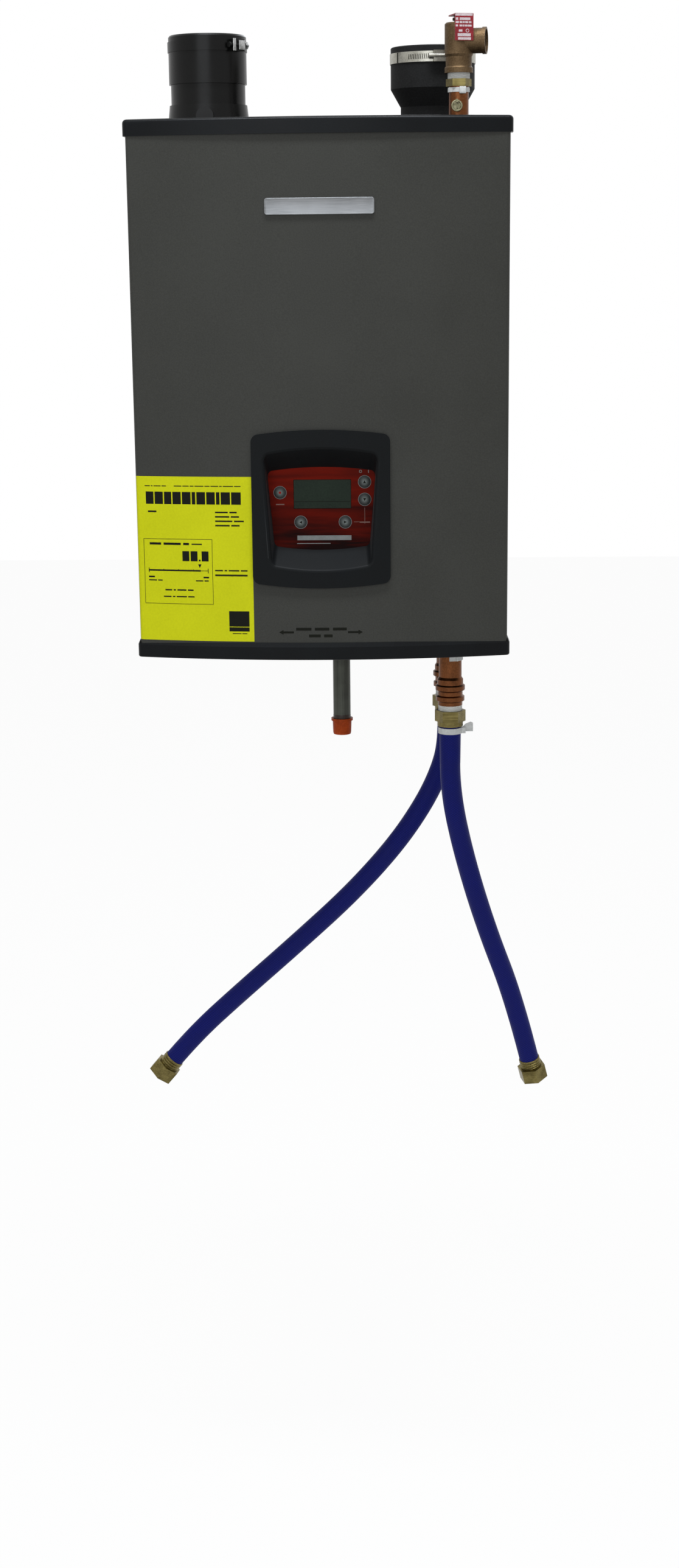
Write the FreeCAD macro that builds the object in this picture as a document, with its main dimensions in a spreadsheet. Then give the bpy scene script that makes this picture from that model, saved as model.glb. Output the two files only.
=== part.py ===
import FreeCAD, Part
import math
import os
import re

import Sketcher
from FreeCAD import Placement, Rotation, Vector

# A wall-hung combi boiler. The wall is the plane y = 0, the front faces -Y and the origin
# is midway between the two wall fixings of the bracket.

doc = FreeCAD.newDocument("CombiBoiler")
sizes = doc.addObject("Spreadsheet::Sheet", "Sizes")
nodes = {}
others = set(globals())

# Cabinet
cab_width = 425
cab_height = 600
cab_top = 60
cab_depth = 275
wall_gap = 14
sheet_wall = 1.5
flange_width = 15
flange_height = 20
plate_drop = 5
base_lift = 3
seat_gap = 0.4

# Wall bracket and hanger rail
bracket_inset = 1.5
bracket_length = cab_width - 2 * bracket_inset
fixing_inset = 7.8
fixing_pitch = bracket_length - 2 * fixing_inset
fixing_radius = 4.5
bracket_gauge = 2.5
bracket_drop = 25
shelf_height = 12
hook_reach = 11
hook_height = 30
rail_inset = 21
rail_length = bracket_length - 2 * rail_inset
rail_leg = 14

# Cover
cover_gap = 0.6
cover_return = 24.4
cover_bow = 25
cover_tuck = 10
cover_round = 5
cap_height = 18
cap_round = 4.5
trim_corner = 6
trim_height = 20
trim_lip = 3
trim_wall = 2.5
foot_round = 2
ledge_height = 5
ledge_depth = 2.2
hook_offset = 130
hook_width = 30
hook_gauge = 2
hook_tail = 12
hook_leg = 18
stud_offset = 150
stud_height = 9
stud_radius = 3
stud_head = 4
stud_length = 13

# Control bezel
bezel_width = 157
bezel_height = 167
bezel_drop = 367.4
bezel_crown = 6
bezel_corner = 9
bezel_skin = 3
bezel_wall = 2.5
bezel_gap = 1
bezel_round = 2.2
mouth_round = 4
window_border = 7
mouth_top_width = 128.6
mouth_base_width = 113
mouth_top_drop = 303
mouth_base_drop = 432.5
mouth_crown = 4.5
throat_top_width = 123.6
throat_base_width = 109
throat_top_drop = 326.5
throat_base_drop = 411.4
throat_crown = 4.7
throat_round = 6

# Control panel
fascia_reach = 25
fascia_thick = 3
fascia_margin = 6
housing_wall = 2.5
board_gap = 5.5
board_thick = 1.6
post_radius = 3
bracket_band = 50
display_width = 65
display_height = 32.4
display_offset = 0.8
display_drop = 352.7
display_sunk = 0.4
key_radius = 7
key_slack = 0.3
key_rim = 1.5
key_proud = 1
key_travel = 1.2
reset_offset = 47.5
reset_drop = 350.7
arrow_column = 49.1
up_drop = 339.1
down_drop = 359
back_offset = 24.2
next_offset = 26.7
row_drop = 384.6

# Vent
vent_offset = 131.8
vent_back = 150
vent_bore = 40.5
vent_outer = 45
vent_height = 104
vent_step = 50
vent_flare = 2.5
vent_flange = 54
flange_thick = 4
port_radius = 10
port_height = 13
clamp_gauge = 0.9
clamp_width = 11.5
clamp_down = 7
screw_radius = 3
riser_radius = 32
riser_wall = 2
riser_seat = 20

# Air intake
intake_offset = 128.5
intake_back = 150
intake_bore = 44.5
intake_wall = 4
intake_height = 88
intake_cup = 46
intake_taper = 20
spigot_radius = 33
spigot_wall = 3
spigot_height = 38
cuff_lift = 7

# Relief valve on the copper riser
supply_offset = 156.6
supply_back = 240
copper_radius = 11.1
copper_wall = 1.2
supply_rise = 38.9
relief_nut = 14.4
nut_height = 8
tape_height = 6.4
tape_radius = 12.4
relief_radius = 15.8
relief_neck = 14.6
relief_height = 53.4
outlet_height = 34
outlet_radius = 13.6
outlet_rim = 14.5
outlet_bead = 4
outlet_reach = 31
outlet_bore = 12.1
outlet_depth = 16
outlet_yaw = 10
lever_yaw = 15
lever_pin = 57
pin_radius = 1.6
pin_slack = 0.1
ear_radius = 3.5
lever_width = 21
lever_gauge = 1.3
lever_drop = 28.5
lever_reach = 21.5
lever_tail = 5
drain_ring = 6.4
drain_wire = 2
drain_peg = 1.8
drain_reach = 8
drain_shift = 2.4
drain_lift = 17.5

# Heat exchanger and burner
shell_back = 135
shell_radius = 88
shell_top = 38
shell_height = 280
rim_width = 5
rim_height = 7
sump_radius = 40
saddle_width = 90
saddle_height = 120
saddle_drop = 110
door_thick = 12
door_boss = 8
door_nuts = 6
door_nut_radius = 5
door_nut_height = 3.4
igniter_radius = 6
igniter_height = 38

# Blower
blower_radius = 56
blower_wall = 4
blower_low = 22
blower_high = 26
inlet_radius = 24
wheel_radius = 44
wheel_disc = 3
wheel_lift = 6
blade_height = 18
blade_thick = 2
blade_inner = 22
blade_count = 12
shaft_radius = 4
shaft_slack = 0.1
shaft_length = 24
motor_radius = 30
motor_height = 44
duct_height = 34
duct_width = 52
duct_radius = 30

# Gas line
gas_offset = 15.6
gas_back = 130
gas_radius = 10.67
gas_wall = 2.6
gas_reach = 130.5
gas_run = 42
gas_bend = 24
valve_inset = 27.5
valve_offset = cab_width / 2 - valve_inset
valve_back = 50
valve_width = 70
valve_depth = 80
valve_height = 90
valve_drop = 140
coil_radius = 14
coil_length = 24
plug_length = 19
plug_lip = 2.7
plug_skirt = 3
plug_wall = 1.1

# Flue base and condensate
sump_depth = 82
socket_wall = 6
socket_depth = 12
socket_height = 60
link_height = 50
link_width = 45
trap_offset = 70
trap_back = 165
trap_radius = 28
trap_height = 116
drain_tube = 9.5
drain_below = 25

# Water ports, pump and valves
return_offset = 146.3
return_back = 148
port_offset = 148
fitting_radius = 13.5
fitting_length = 73
fitting_swell = 1.9
fitting_bead = 4
bore_radius = 10
hose_tape = 14.2
hose_nut = 18.3
hose_nut_height = 19
hose_collar = 15.4
hose_collar_height = 5.5
pump_radius = 36
pump_depth = 46
pump_rise = 97
pump_motor = 32
pump_motor_length = 62
boss_radius = 16
boss_reach = 44
diverter_rise = 97
diverter_width = 44
diverter_height = 56
actuator_radius = 20
actuator_length = 45
branch_drop = 100
return_drop = 290
pipe_bend = 26

# Domestic water
stack_inset = 52.5
stack_offset = cab_width / 2 - stack_inset
stack_width = 70
stack_depth = 60
stack_height = 190
stack_rise = 37
stack_slots = 12
stack_slot = 2
stack_pitch = 4.6
dhw_pitch = 36
dhw_below = 28

# Ignition transformer
spark_width = 41
spark_depth = 50
spark_height = 70
spark_front = 262
spark_drop = 260

# Hoses
hose_radius = 12.2
cuff_radius = 12.7
supply_cuff = 46
return_cuff = 10
tie_slack = 0.2
tie_gauge = 1.3
tie_height = 7
tie_gap = 2
tie_tail = 13
tie_flag = 12
coupling_radius = 13.5
coupling_length = 30
coupling_hex = 18
coupling_bore = 12.6

# The sheet has one cell for each size named above, under that name
aliases = [name for name in list(globals()) if name not in others and name != "others"]
for row, alias in enumerate(aliases, 1):
    sizes.set("A%d" % row, alias)
    sizes.set("B%d" % row, str(globals()[alias]))
    sizes.setAlias("B%d" % row, alias)
doc.recompute()

# Levels and planes that several pieces share, as expressions of the sheet's names
HALF = "(cab_width / 2)"
PLATE_TOP = "(cab_top - plate_drop)"
TRIM_LOW = "(cab_top - cab_height)"
PLATE_LOW = "(cab_top - cab_height + base_lift)"
COVER_HIGH = "(cab_top - cap_height)"
COVER_LOW = "(cab_top - cab_height + trim_height)"
COVER_BACK = "(cab_depth + cover_gap)"
COVER_SIDE = "(cab_depth + cover_gap + cover_return)"
BOW_RADIUS = "(cab_width * cab_width / cover_bow / 8 + cover_bow / 2)"
PANEL_FACE = "(wall_gap + 2 * sheet_wall)"
FASCIA_FRONT = "(cab_depth + fascia_reach)"
FASCIA_BACK = "(cab_depth + fascia_reach - fascia_thick)"
HOUSING_BACK = "(cab_depth - sheet_wall)"
BOARD_FRONT = "(cab_depth + fascia_reach - fascia_thick - board_gap)"
PANEL_HALF = "(throat_top_width / 2 + fascia_margin)"
PANEL_TOP = "(throat_top_drop - throat_crown - fascia_margin)"
PANEL_BASE = "(throat_base_drop + throat_crown + fascia_margin)"
SHELL_LOW = "(-shell_top - shell_height)"
DOOR_TOP = "(-shell_top + door_thick)"
RELIEF_SEAT = "(cab_top - plate_drop + supply_rise + nut_height + tape_height)"
PORT_LOW = "(cab_top - cab_height - fitting_length + base_lift)"
NUT_LOW = "(%s - tape_height - hose_nut_height)" % PORT_LOW
PUMP_LEVEL = "(%s + pump_rise)" % PLATE_LOW
DIVERTER_LOW = "(%s + diverter_rise)" % PLATE_LOW


def bind(text):
    """Point every name of the sheet in an expression at the sheet itself."""
    def owned(found):
        word = found.group(0)
        return "Sizes." + word if word in aliases else word
    return re.sub(r"[A-Za-z_]+", owned, text)


def value(text):
    """Return the number that an expression has now."""
    return float(sizes.evalExpression(bind(text)))


def put(piece, where, turn=None):
    """Place a piece at a bound position, turned about its own origin."""
    if turn is not None:
        piece.Placement = Placement(Vector(0, 0, 0), turn)
    for axis, text in zip("xyz", where):
        piece.setExpression("Placement.Base." + axis, bind(text))
    return piece


def keep(label, piece):
    """Name a finished sub-part."""
    piece.Label = label
    nodes[label] = piece
    return piece


ALONG_X = Rotation(Vector(0, 1, 0), 90)
ALONG_LEFT = Rotation(Vector(0, 1, 0), -90)
ALONG_BACK = Rotation(Vector(1, 0, 0), -90)
ALONG_FRONT = Rotation(Vector(1, 0, 0), 90)


def block(name, low, span):
    """Make a box from its low corner and its three spans."""
    piece = doc.addObject("Part::Box", name)
    for side, text in zip(("Length", "Width", "Height"), span):
        piece.setExpression(side, bind(text))
    return put(piece, low)


def rod(name, base, radius, length, turn=None):
    """Make a cylinder from the centre of its base, along Z unless it is turned."""
    piece = doc.addObject("Part::Cylinder", name)
    piece.setExpression("Radius", bind(radius))
    piece.setExpression("Height", bind(length))
    return put(piece, base, turn)


def hexagon(name, base, radius, length):
    """Make an upright hexagonal prism from the centre of its base."""
    piece = doc.addObject("Part::Prism", name)
    piece.Polygon = 6
    piece.setExpression("Circumradius", bind(radius))
    piece.setExpression("Height", bind(length))
    return put(piece, base)


def join(name, *pieces):
    """Fuse pieces into one."""
    piece = doc.addObject("Part::MultiFuse", name)
    piece.Shapes = list(pieces)
    piece.Refine = True
    return piece


def group(name, *pieces):
    """Hold separate solids of one kind together as one sub-part."""
    piece = doc.addObject("Part::Compound", name)
    piece.Links = list(pieces)
    return piece


def cut(name, base, *tools):
    """Take the tools away from a base."""
    piece = doc.addObject("Part::Cut", name)
    piece.Base = base
    piece.Tool = tools[0] if len(tools) == 1 else join(name + "_tools", *tools)
    piece.Refine = True
    return piece


def tube(name, base, radius, bore, length, turn=None):
    """Make a straight pipe."""
    outer = rod(name + "_outer", base, radius, length, turn)
    inner = rod(name + "_inner", base, bore, length, turn)
    return cut(name, outer, inner)


def new_body(name):
    """Start a PartDesign body."""
    return doc.addObject("PartDesign::Body", name)


def draw(sketch, points, closed=True):
    """Draw one outline. A point is (u, v), or (u, v, sagitta) where an arc starts there.

    The sagitta is positive to the left of the way to the next point.
    """
    spots = [Vector(value(point[0]), value(point[1]), 0) for point in points]
    last = len(points) if closed else len(points) - 1
    starts = []
    ends = []
    for index in range(last):
        after = (index + 1) % len(points)
        first, second = spots[index], spots[after]
        if len(points[index]) == 2:
            line = sketch.addGeometry(Part.LineSegment(first, second))
            starts.append((line, 1))
            ends.append((line, 2))
            continue
        rise = points[index][2]
        way = second - first
        left = Vector(-way.y, way.x, 0).normalize()
        crest = (first + second) * 0.5 + left * value(rise)
        if value(rise) < 0:
            arc = sketch.addGeometry(Part.Arc(first, crest, second))
            starts.append((arc, 1))
            ends.append((arc, 2))
        else:
            arc = sketch.addGeometry(Part.Arc(second, crest, first))
            starts.append((arc, 2))
            ends.append((arc, 1))
        across = "((%s) - (%s))" % (points[after][0], points[index][0])
        along = "((%s) - (%s))" % (points[after][1], points[index][1])
        radius = "((%s * %s + %s * %s) / 8 / abs(%s) + abs(%s) / 2)" % (
            across, across, along, along, rise, rise)
        pinned = sketch.addConstraint(Sketcher.Constraint("Radius", arc, value(radius)))
        sketch.setExpression("Constraints[%d]" % pinned, bind(radius))
    for index in range(last):
        after = (index + 1) % last
        if closed or index + 1 < last:
            sketch.addConstraint(Sketcher.Constraint("Coincident", *ends[index], *starts[after]))
    corners = list(zip(points, starts)) if closed else list(zip(points, starts)) + [
        (points[-1], ends[-1])]
    for point, (edge, end) in corners:
        for kind, text in (("DistanceX", point[0]), ("DistanceY", point[1])):
            pinned = sketch.addConstraint(
                Sketcher.Constraint(kind, -1, 1, edge, end, value(text)))
            sketch.setExpression("Constraints[%d]" % pinned, bind(text))


def ring(sketch, centre, radius):
    """Draw one circle."""
    spot = Vector(value(centre[0]), value(centre[1]), 0)
    circle = sketch.addGeometry(Part.Circle(spot, Vector(0, 0, 1), value(radius)))
    pinned = sketch.addConstraint(Sketcher.Constraint("Radius", circle, value(radius)))
    sketch.setExpression("Constraints[%d]" % pinned, bind(radius))
    for kind, text in (("DistanceX", centre[0]), ("DistanceY", centre[1])):
        pinned = sketch.addConstraint(
            Sketcher.Constraint(kind, -1, 1, circle, 3, value(text)))
        sketch.setExpression("Constraints[%d]" % pinned, bind(text))


def new_sketch(body, plane, offset="0"):
    """Start a sketch on one of the body's own planes, moved along the plane's normal."""
    sketch = body.newObject("Sketcher::SketchObject", body.Name + "_" + plane)
    origin = [item for item in body.Origin.OriginFeatures if item.Role == plane + "_Plane"][0]
    sketch.AttachmentSupport = [(origin, "")]
    sketch.MapMode = "FlatFace"
    sketch.setExpression("AttachmentOffset.Base.z", bind(offset))
    return sketch


def outline(body, plane, points, offset="0"):
    """Make a sketch of one closed outline."""
    sketch = new_sketch(body, plane, offset)
    draw(sketch, points)
    return sketch


def pad(body, sketch, length, both=False):
    """Extrude a sketch."""
    feature = body.newObject("PartDesign::Pad", "Pad")
    feature.Profile = sketch
    feature.SideType = "Symmetric" if both else "One side"
    feature.setExpression("Length", bind(length))
    return feature


def pocket(body, sketch, length, upward=False, both=False):
    """Cut a sketch into the body, against its normal unless upward."""
    before = body.Shape.Volume if body.Tip is None else body.Tip.Shape.Volume
    feature = body.newObject("PartDesign::Pocket", "Pocket")
    feature.Profile = sketch
    feature.SideType = "Symmetric" if both else "One side"
    feature.Reversed = upward
    feature.setExpression("Length", bind(length))
    doc.recompute()
    assert feature.Shape.Volume < before, body.Name + ": a pocket cut nothing"
    return feature


def turned(body, points, plane="XZ"):
    """Revolve an outline of (radius, height) points round the body's Z axis."""
    sketch = outline(body, plane, points)
    feature = body.newObject("PartDesign::Revolution", "Revolution")
    feature.Profile = sketch
    feature.ReferenceAxis = (sketch, ["V_Axis"])
    feature.Angle = 360
    return feature


def lathe(name, where, points, turn=None):
    """Make a turned body at a place."""
    body = new_body(name)
    turned(body, points)
    return put(body, where, turn)


def soften(body, radius, chosen):
    """Round the edges of the body's tip that a test picks."""
    doc.recompute()
    base = body.Tip
    picked = ["Edge%d" % (number + 1) for number, edge in enumerate(base.Shape.Edges)
              if chosen(edge)]
    feature = body.newObject("PartDesign::Fillet", "Fillet")
    feature.Base = (base, picked)
    feature.setExpression("Radius", bind(radius))
    doc.recompute()
    return feature


def ends_match(edge, test):
    """Tell whether both ends of an edge pass a test."""
    return all(test(vertex.Point) for vertex in edge.Vertexes)


def upright(edge):
    """Tell whether an edge runs along Z."""
    box = edge.BoundBox
    return box.ZLength > 1 and box.XLength + box.YLength < 1e-4


def near(first, second):
    """Tell whether two lengths agree."""
    return abs(first - second) < 1e-4


def blend(name, where, yaw, path, radius, bore):
    """Make a bent pipe: a ring swept along a path of (reach, height) in an upright plane."""
    body = new_body(name)
    section = new_sketch(body, "XY")
    ring(section, ("0", "0"), radius)
    ring(section, ("0", "0"), bore)
    spine = new_sketch(body, "XZ")
    draw(spine, path, closed=False)
    feature = body.newObject("PartDesign::AdditivePipe", "Pipe")
    feature.Profile = section
    feature.Spine = (spine, [])
    return put(body, where, Rotation(Vector(0, 0, 1), yaw))


# Wall bracket: a folded shelf with a raised lip, bored for two wall fixings
bracket = new_body("wall_bracket")
pad(bracket, outline(bracket, "YZ", [
    ("0", "-bracket_drop"),
    ("0", "shelf_height"),
    ("bracket_gauge - hook_reach", "shelf_height"),
    ("bracket_gauge - hook_reach", "hook_height"),
    ("-hook_reach", "hook_height"),
    ("-hook_reach", "shelf_height - bracket_gauge"),
    ("-bracket_gauge", "shelf_height - bracket_gauge"),
    ("-bracket_gauge", "-bracket_drop")]), "bracket_length", both=True)
doc.recompute()
fixings = new_sketch(bracket, "XZ")
ring(fixings, ("-fixing_pitch / 2", "0"), "fixing_radius")
ring(fixings, ("fixing_pitch / 2", "0"), "fixing_radius")
pocket(bracket, fixings, "4 * hook_reach", both=True)
keep("wall_bracket", bracket)

# Hanger rail: hooks over the bracket's lip and is fixed to the back panel
RAIL_BACK = "(wall_gap + sheet_wall)"
rail = new_body("hanger_rail")
pad(rail, outline(rail, "YZ", [
    ("-" + RAIL_BACK, "-shelf_height"),
    ("bracket_gauge - " + RAIL_BACK, "-shelf_height"),
    ("bracket_gauge - " + RAIL_BACK, "hook_height"),
    ("2 * bracket_gauge + 2 - hook_reach", "hook_height"),
    ("2 * bracket_gauge + 2 - hook_reach", "hook_height - rail_leg"),
    ("3 * bracket_gauge + 2 - hook_reach", "hook_height - rail_leg"),
    ("3 * bracket_gauge + 2 - hook_reach", "hook_height + bracket_gauge"),
    ("-" + RAIL_BACK, "hook_height + bracket_gauge")]), "rail_length", both=True)
keep("hanger_rail", rail)

# Chassis: folded side panels, a back panel, a top plate and a bottom plate
PANEL_HEIGHT = "(cab_height - plate_drop - base_lift - 2 * sheet_wall)"
PANEL_LOW = "(%s + sheet_wall)" % PLATE_LOW


def side_panel(label, side):
    """Fold one side panel; side is "" for +X and "-" for -X."""
    body = new_body(label)
    pad(body, outline(body, "XY", [
        (side + HALF, "-wall_gap"),
        (side + HALF, "-cab_depth"),
        (side + "(%s - flange_width)" % HALF, "-cab_depth"),
        (side + "(%s - flange_width)" % HALF, "sheet_wall - cab_depth"),
        (side + "(%s - sheet_wall)" % HALF, "sheet_wall - cab_depth"),
        (side + "(%s - sheet_wall)" % HALF, "-wall_gap - sheet_wall"),
        (side + "(%s - flange_width)" % HALF, "-wall_gap - sheet_wall"),
        (side + "(%s - flange_width)" % HALF, "-wall_gap")], PANEL_LOW), PANEL_HEIGHT)
    keep(label, body)


side_panel("side_panel_left", "-")
side_panel("side_panel_right", "")
keep("back_panel", block(
    "back_panel",
    ("sheet_wall + seat_gap - " + HALF, "-" + PANEL_FACE, PANEL_LOW),
    ("cab_width - 2 * sheet_wall - 2 * seat_gap", "sheet_wall", PANEL_HEIGHT)))

FLANGE_HALF = "(%s - flange_width - seat_gap)" % HALF
HOOK_SLOT = "(hook_width + 6)"


def hook_slot(name, side):
    """Make the cutter of a slot behind the top plate's front flange."""
    return block(
        name,
        (side + "hook_offset - %s / 2" % HOOK_SLOT, "sheet_wall - cab_depth",
         PLATE_TOP + " - 2 * sheet_wall"),
        (HOOK_SLOT, "hook_tail + 6", "4 * sheet_wall"))


def plate_hole(name, across, back, radius, level):
    """Make the cutter of a round hole through a plate."""
    return rod(name, (across, "-" + back, level + " - 2 * sheet_wall"), radius, "5 * sheet_wall")


top_sheet = block(
    "top_sheet", ("-" + HALF, "-cab_depth", PLATE_TOP + " - sheet_wall"),
    ("cab_width", "cab_depth - wall_gap", "sheet_wall"))
top_flange = block(
    "top_flange", ("-" + FLANGE_HALF, "-cab_depth", PLATE_TOP + " - flange_height"),
    ("2 * " + FLANGE_HALF, "sheet_wall", "flange_height"))
keep("top_plate", cut(
    "top_plate", join("top_tray", top_sheet, top_flange),
    hook_slot("hook_slot_left", "-"),
    hook_slot("hook_slot_right", ""),
    plate_hole("vent_hole", "-vent_offset", "vent_back", "riser_radius + 3", PLATE_TOP),
    plate_hole("intake_hole", "intake_offset", "intake_back", "spigot_radius + 1", PLATE_TOP),
    plate_hole("riser_hole", "supply_offset", "supply_back", "copper_radius + 1", PLATE_TOP)))

base_sheet = block(
    "base_sheet", ("-" + HALF, "-cab_depth", PLATE_LOW),
    ("cab_width", "cab_depth - wall_gap", "sheet_wall"))
base_flange = block(
    "base_flange", ("-" + FLANGE_HALF, "-cab_depth", PLATE_LOW),
    ("2 * " + FLANGE_HALF, "sheet_wall", "flange_height"))
STUD_LEVEL = "(%s + stud_height)" % PLATE_LOW


def stud_hole(name, side):
    """Make the cutter of a latch hole in the bottom plate's front flange."""
    return rod(
        name, (side + "stud_offset", "-cab_depth - sheet_wall", STUD_LEVEL),
        "stud_head + 0.6", "4 * sheet_wall", ALONG_BACK)


keep("bottom_plate", cut(
    "bottom_plate", join("base_tray", base_sheet, base_flange),
    stud_hole("stud_hole_left", "-"),
    stud_hole("stud_hole_right", ""),
    plate_hole("gas_hole", "gas_offset", "gas_back", "gas_radius + 1", PLATE_LOW),
    plate_hole("supply_hole", "port_offset", "supply_back", "fitting_radius + 1", PLATE_LOW),
    plate_hole("return_hole", "return_offset", "return_back", "fitting_radius + 1", PLATE_LOW),
    plate_hole("drain_hole", "-trap_offset", "trap_back", "drain_tube + 2", PLATE_LOW),
    plate_hole("cold_hole", "-stack_offset - dhw_pitch / 2",
               "(%s + stack_depth / 2)" % PANEL_FACE, "copper_radius + 1", PLATE_LOW),
    plate_hole("hot_hole", "-stack_offset + dhw_pitch / 2",
               "(%s + stack_depth / 2)" % PANEL_FACE, "copper_radius + 1", PLATE_LOW)))

# Front cover: a bowed sheet with side returns and a window for the control bezel
cover = new_body("front_cover")
INNER = "(%s - sheet_wall)" % HALF
pad(cover, outline(cover, "XY", [
    ("-" + HALF, "-" + COVER_BACK),
    ("-" + HALF, "-" + COVER_SIDE, "-cover_bow"),
    (HALF, "-" + COVER_SIDE),
    (HALF, "-" + COVER_BACK),
    (INNER, "-" + COVER_BACK),
    (INNER, "-" + COVER_SIDE, "cover_bow - sheet_wall"),
    ("-" + INNER, "-" + COVER_SIDE),
    ("-" + INNER, "-" + COVER_BACK)], COVER_LOW + " - cover_tuck"),
    "cab_height - cap_height - trim_height + 2 * cover_tuck")
soften(cover, "cover_round", lambda edge: ends_match(
    edge, lambda point: near(abs(point.x), value(HALF)) and near(point.y, -value(COVER_SIDE)))
    and upright(edge))
soften(cover, "cover_round - sheet_wall", lambda edge: ends_match(
    edge, lambda point: near(abs(point.x), value(INNER)) and near(point.y, -value(COVER_SIDE)))
    and upright(edge))
WINDOW_HALF = "(bezel_width / 2 - window_border)"
WINDOW_RISE = "(bezel_height / 2 - window_border)"
window = outline(cover, "XZ", [
    ("-" + WINDOW_HALF, "-bezel_drop - " + WINDOW_RISE),
    (WINDOW_HALF, "-bezel_drop - " + WINDOW_RISE),
    (WINDOW_HALF, "-bezel_drop + " + WINDOW_RISE),
    ("-" + WINDOW_HALF, "-bezel_drop + " + WINDOW_RISE)])
pocket(cover, window, "3 * cab_depth", both=True)
keep("front_cover", cover)


def trim_outline(body, level, step, back):
    """Draw the cover's plan, moved outward by a step, up to a rear line."""
    return outline(body, "XY", [
        ("-(%s + %s)" % (HALF, step), "-" + back),
        ("-(%s + %s)" % (HALF, step), "-" + COVER_SIDE, "-(cover_bow + %s)" % step),
        ("%s + %s" % (HALF, step), "-" + COVER_SIDE),
        ("%s + %s" % (HALF, step), "-" + back)], level)


OPEN_BACK = "(cab_depth - 5)"


def at_corner(point):
    """Tell whether a point lies on an outer front corner of a trim."""
    return near(abs(point.x), value(HALF + " + trim_lip")) and near(point.y, -value(COVER_SIDE))


# Top trim: a cap over the cover's upper edge, hollow below and open behind
top_trim = new_body("top_trim")
pad(top_trim, trim_outline(top_trim, COVER_HIGH, "trim_lip", COVER_BACK), "cap_height")
soften(top_trim, "trim_corner", lambda edge: ends_match(edge, at_corner) and upright(edge))
soften(top_trim, "cap_round", lambda edge: ends_match(
    edge, lambda point: near(point.z, value("cab_top")))
    and not ends_match(edge, lambda point: near(point.y, -value(COVER_BACK))))
pocket(top_trim, trim_outline(top_trim, COVER_HIGH, "(trim_lip - trim_wall)", OPEN_BACK),
       "cap_height - trim_wall", upward=True)
keep("top_trim", top_trim)

# Bottom trim: a tray under the cover's lower edge with a sloping ledge and a rear wall
bottom_trim = new_body("bottom_trim")
pad(bottom_trim, trim_outline(bottom_trim, TRIM_LOW, "trim_lip", COVER_BACK), "trim_height")
soften(bottom_trim, "trim_corner", lambda edge: ends_match(edge, at_corner) and upright(edge))
soften(bottom_trim, "foot_round", lambda edge: ends_match(
    edge, lambda point: near(point.z, value(TRIM_LOW)))
    and not ends_match(edge, lambda point: near(point.y, -value(COVER_BACK))))
rim = bottom_trim.Tip
ledge = bottom_trim.newObject("PartDesign::Chamfer", "Ledge")
ledge.Base = (rim, ["Edge%d" % (number + 1) for number, edge in enumerate(rim.Shape.Edges)
                    if ends_match(edge, lambda point: near(point.z, value(COVER_LOW)))
                    and not ends_match(edge, lambda point: near(point.y, -value(COVER_BACK)))])
ledge.ChamferType = "Two distances"
ledge.setExpression("Size", bind("ledge_height"))
ledge.setExpression("Size2", bind("ledge_depth"))
doc.recompute()
pocket(bottom_trim, trim_outline(bottom_trim, COVER_LOW, "(trim_lip - trim_wall)", OPEN_BACK),
       "trim_height - trim_wall")
REAR_HALF = "(%s - 8)" % HALF
pad(bottom_trim, outline(bottom_trim, "XY", [
    ("-" + REAR_HALF, "-%s - trim_wall" % COVER_BACK),
    (REAR_HALF, "-%s - trim_wall" % COVER_BACK),
    (REAR_HALF, "-" + COVER_BACK),
    ("-" + REAR_HALF, "-" + COVER_BACK)], TRIM_LOW), "trim_height")
keep("bottom_trim", bottom_trim)

# Control bezel: a bowed flange on the cover with a funnel that leads in to the fascia
BEZEL_HALF = "(bezel_width / 2)"
BEZEL_RISE = "(bezel_height / 2)"


def bow_sag(half):
    """Return how far the bow falls back from its nose at a distance from the middle."""
    return "(%s - sqrt(%s * %s - %s * %s))" % (BOW_RADIUS, BOW_RADIUS, BOW_RADIUS, half, half)


BEZEL_SAG = bow_sag(BEZEL_HALF)
BEZEL_REAR = "(%s + cover_bow - %s + seat_gap)" % (COVER_SIDE, BEZEL_SAG)
BEZEL_NOSE = "(%s + cover_bow + seat_gap + bezel_skin)" % COVER_SIDE
bezel = new_body("control_bezel")
pad(bezel, outline(bezel, "XY", [
    ("-" + BEZEL_HALF, "-" + BEZEL_REAR, "-" + BEZEL_SAG),
    (BEZEL_HALF, "-" + BEZEL_REAR),
    (BEZEL_HALF, "-" + BEZEL_NOSE),
    ("-" + BEZEL_HALF, "-" + BEZEL_NOSE)],
    "-bezel_drop - %s - bezel_crown" % BEZEL_RISE), "bezel_height + 2 * bezel_crown")
doc.recompute()
frame = new_sketch(bezel, "XZ")
draw(frame, [
    ("-bezel_width", "-bezel_drop - bezel_height"),
    ("bezel_width", "-bezel_drop - bezel_height"),
    ("bezel_width", "-bezel_drop + bezel_height"),
    ("-bezel_width", "-bezel_drop + bezel_height")])
draw(frame, [
    ("-" + BEZEL_HALF, "-bezel_drop - " + BEZEL_RISE, "-bezel_crown"),
    (BEZEL_HALF, "-bezel_drop - " + BEZEL_RISE),
    (BEZEL_HALF, "-bezel_drop + " + BEZEL_RISE, "-bezel_crown"),
    ("-" + BEZEL_HALF, "-bezel_drop + " + BEZEL_RISE)])
pocket(bezel, frame, "3 * cab_depth", both=True)
soften(bezel, "bezel_corner", lambda edge: edge.BoundBox.XLength + edge.BoundBox.ZLength < 1e-4)


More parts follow.
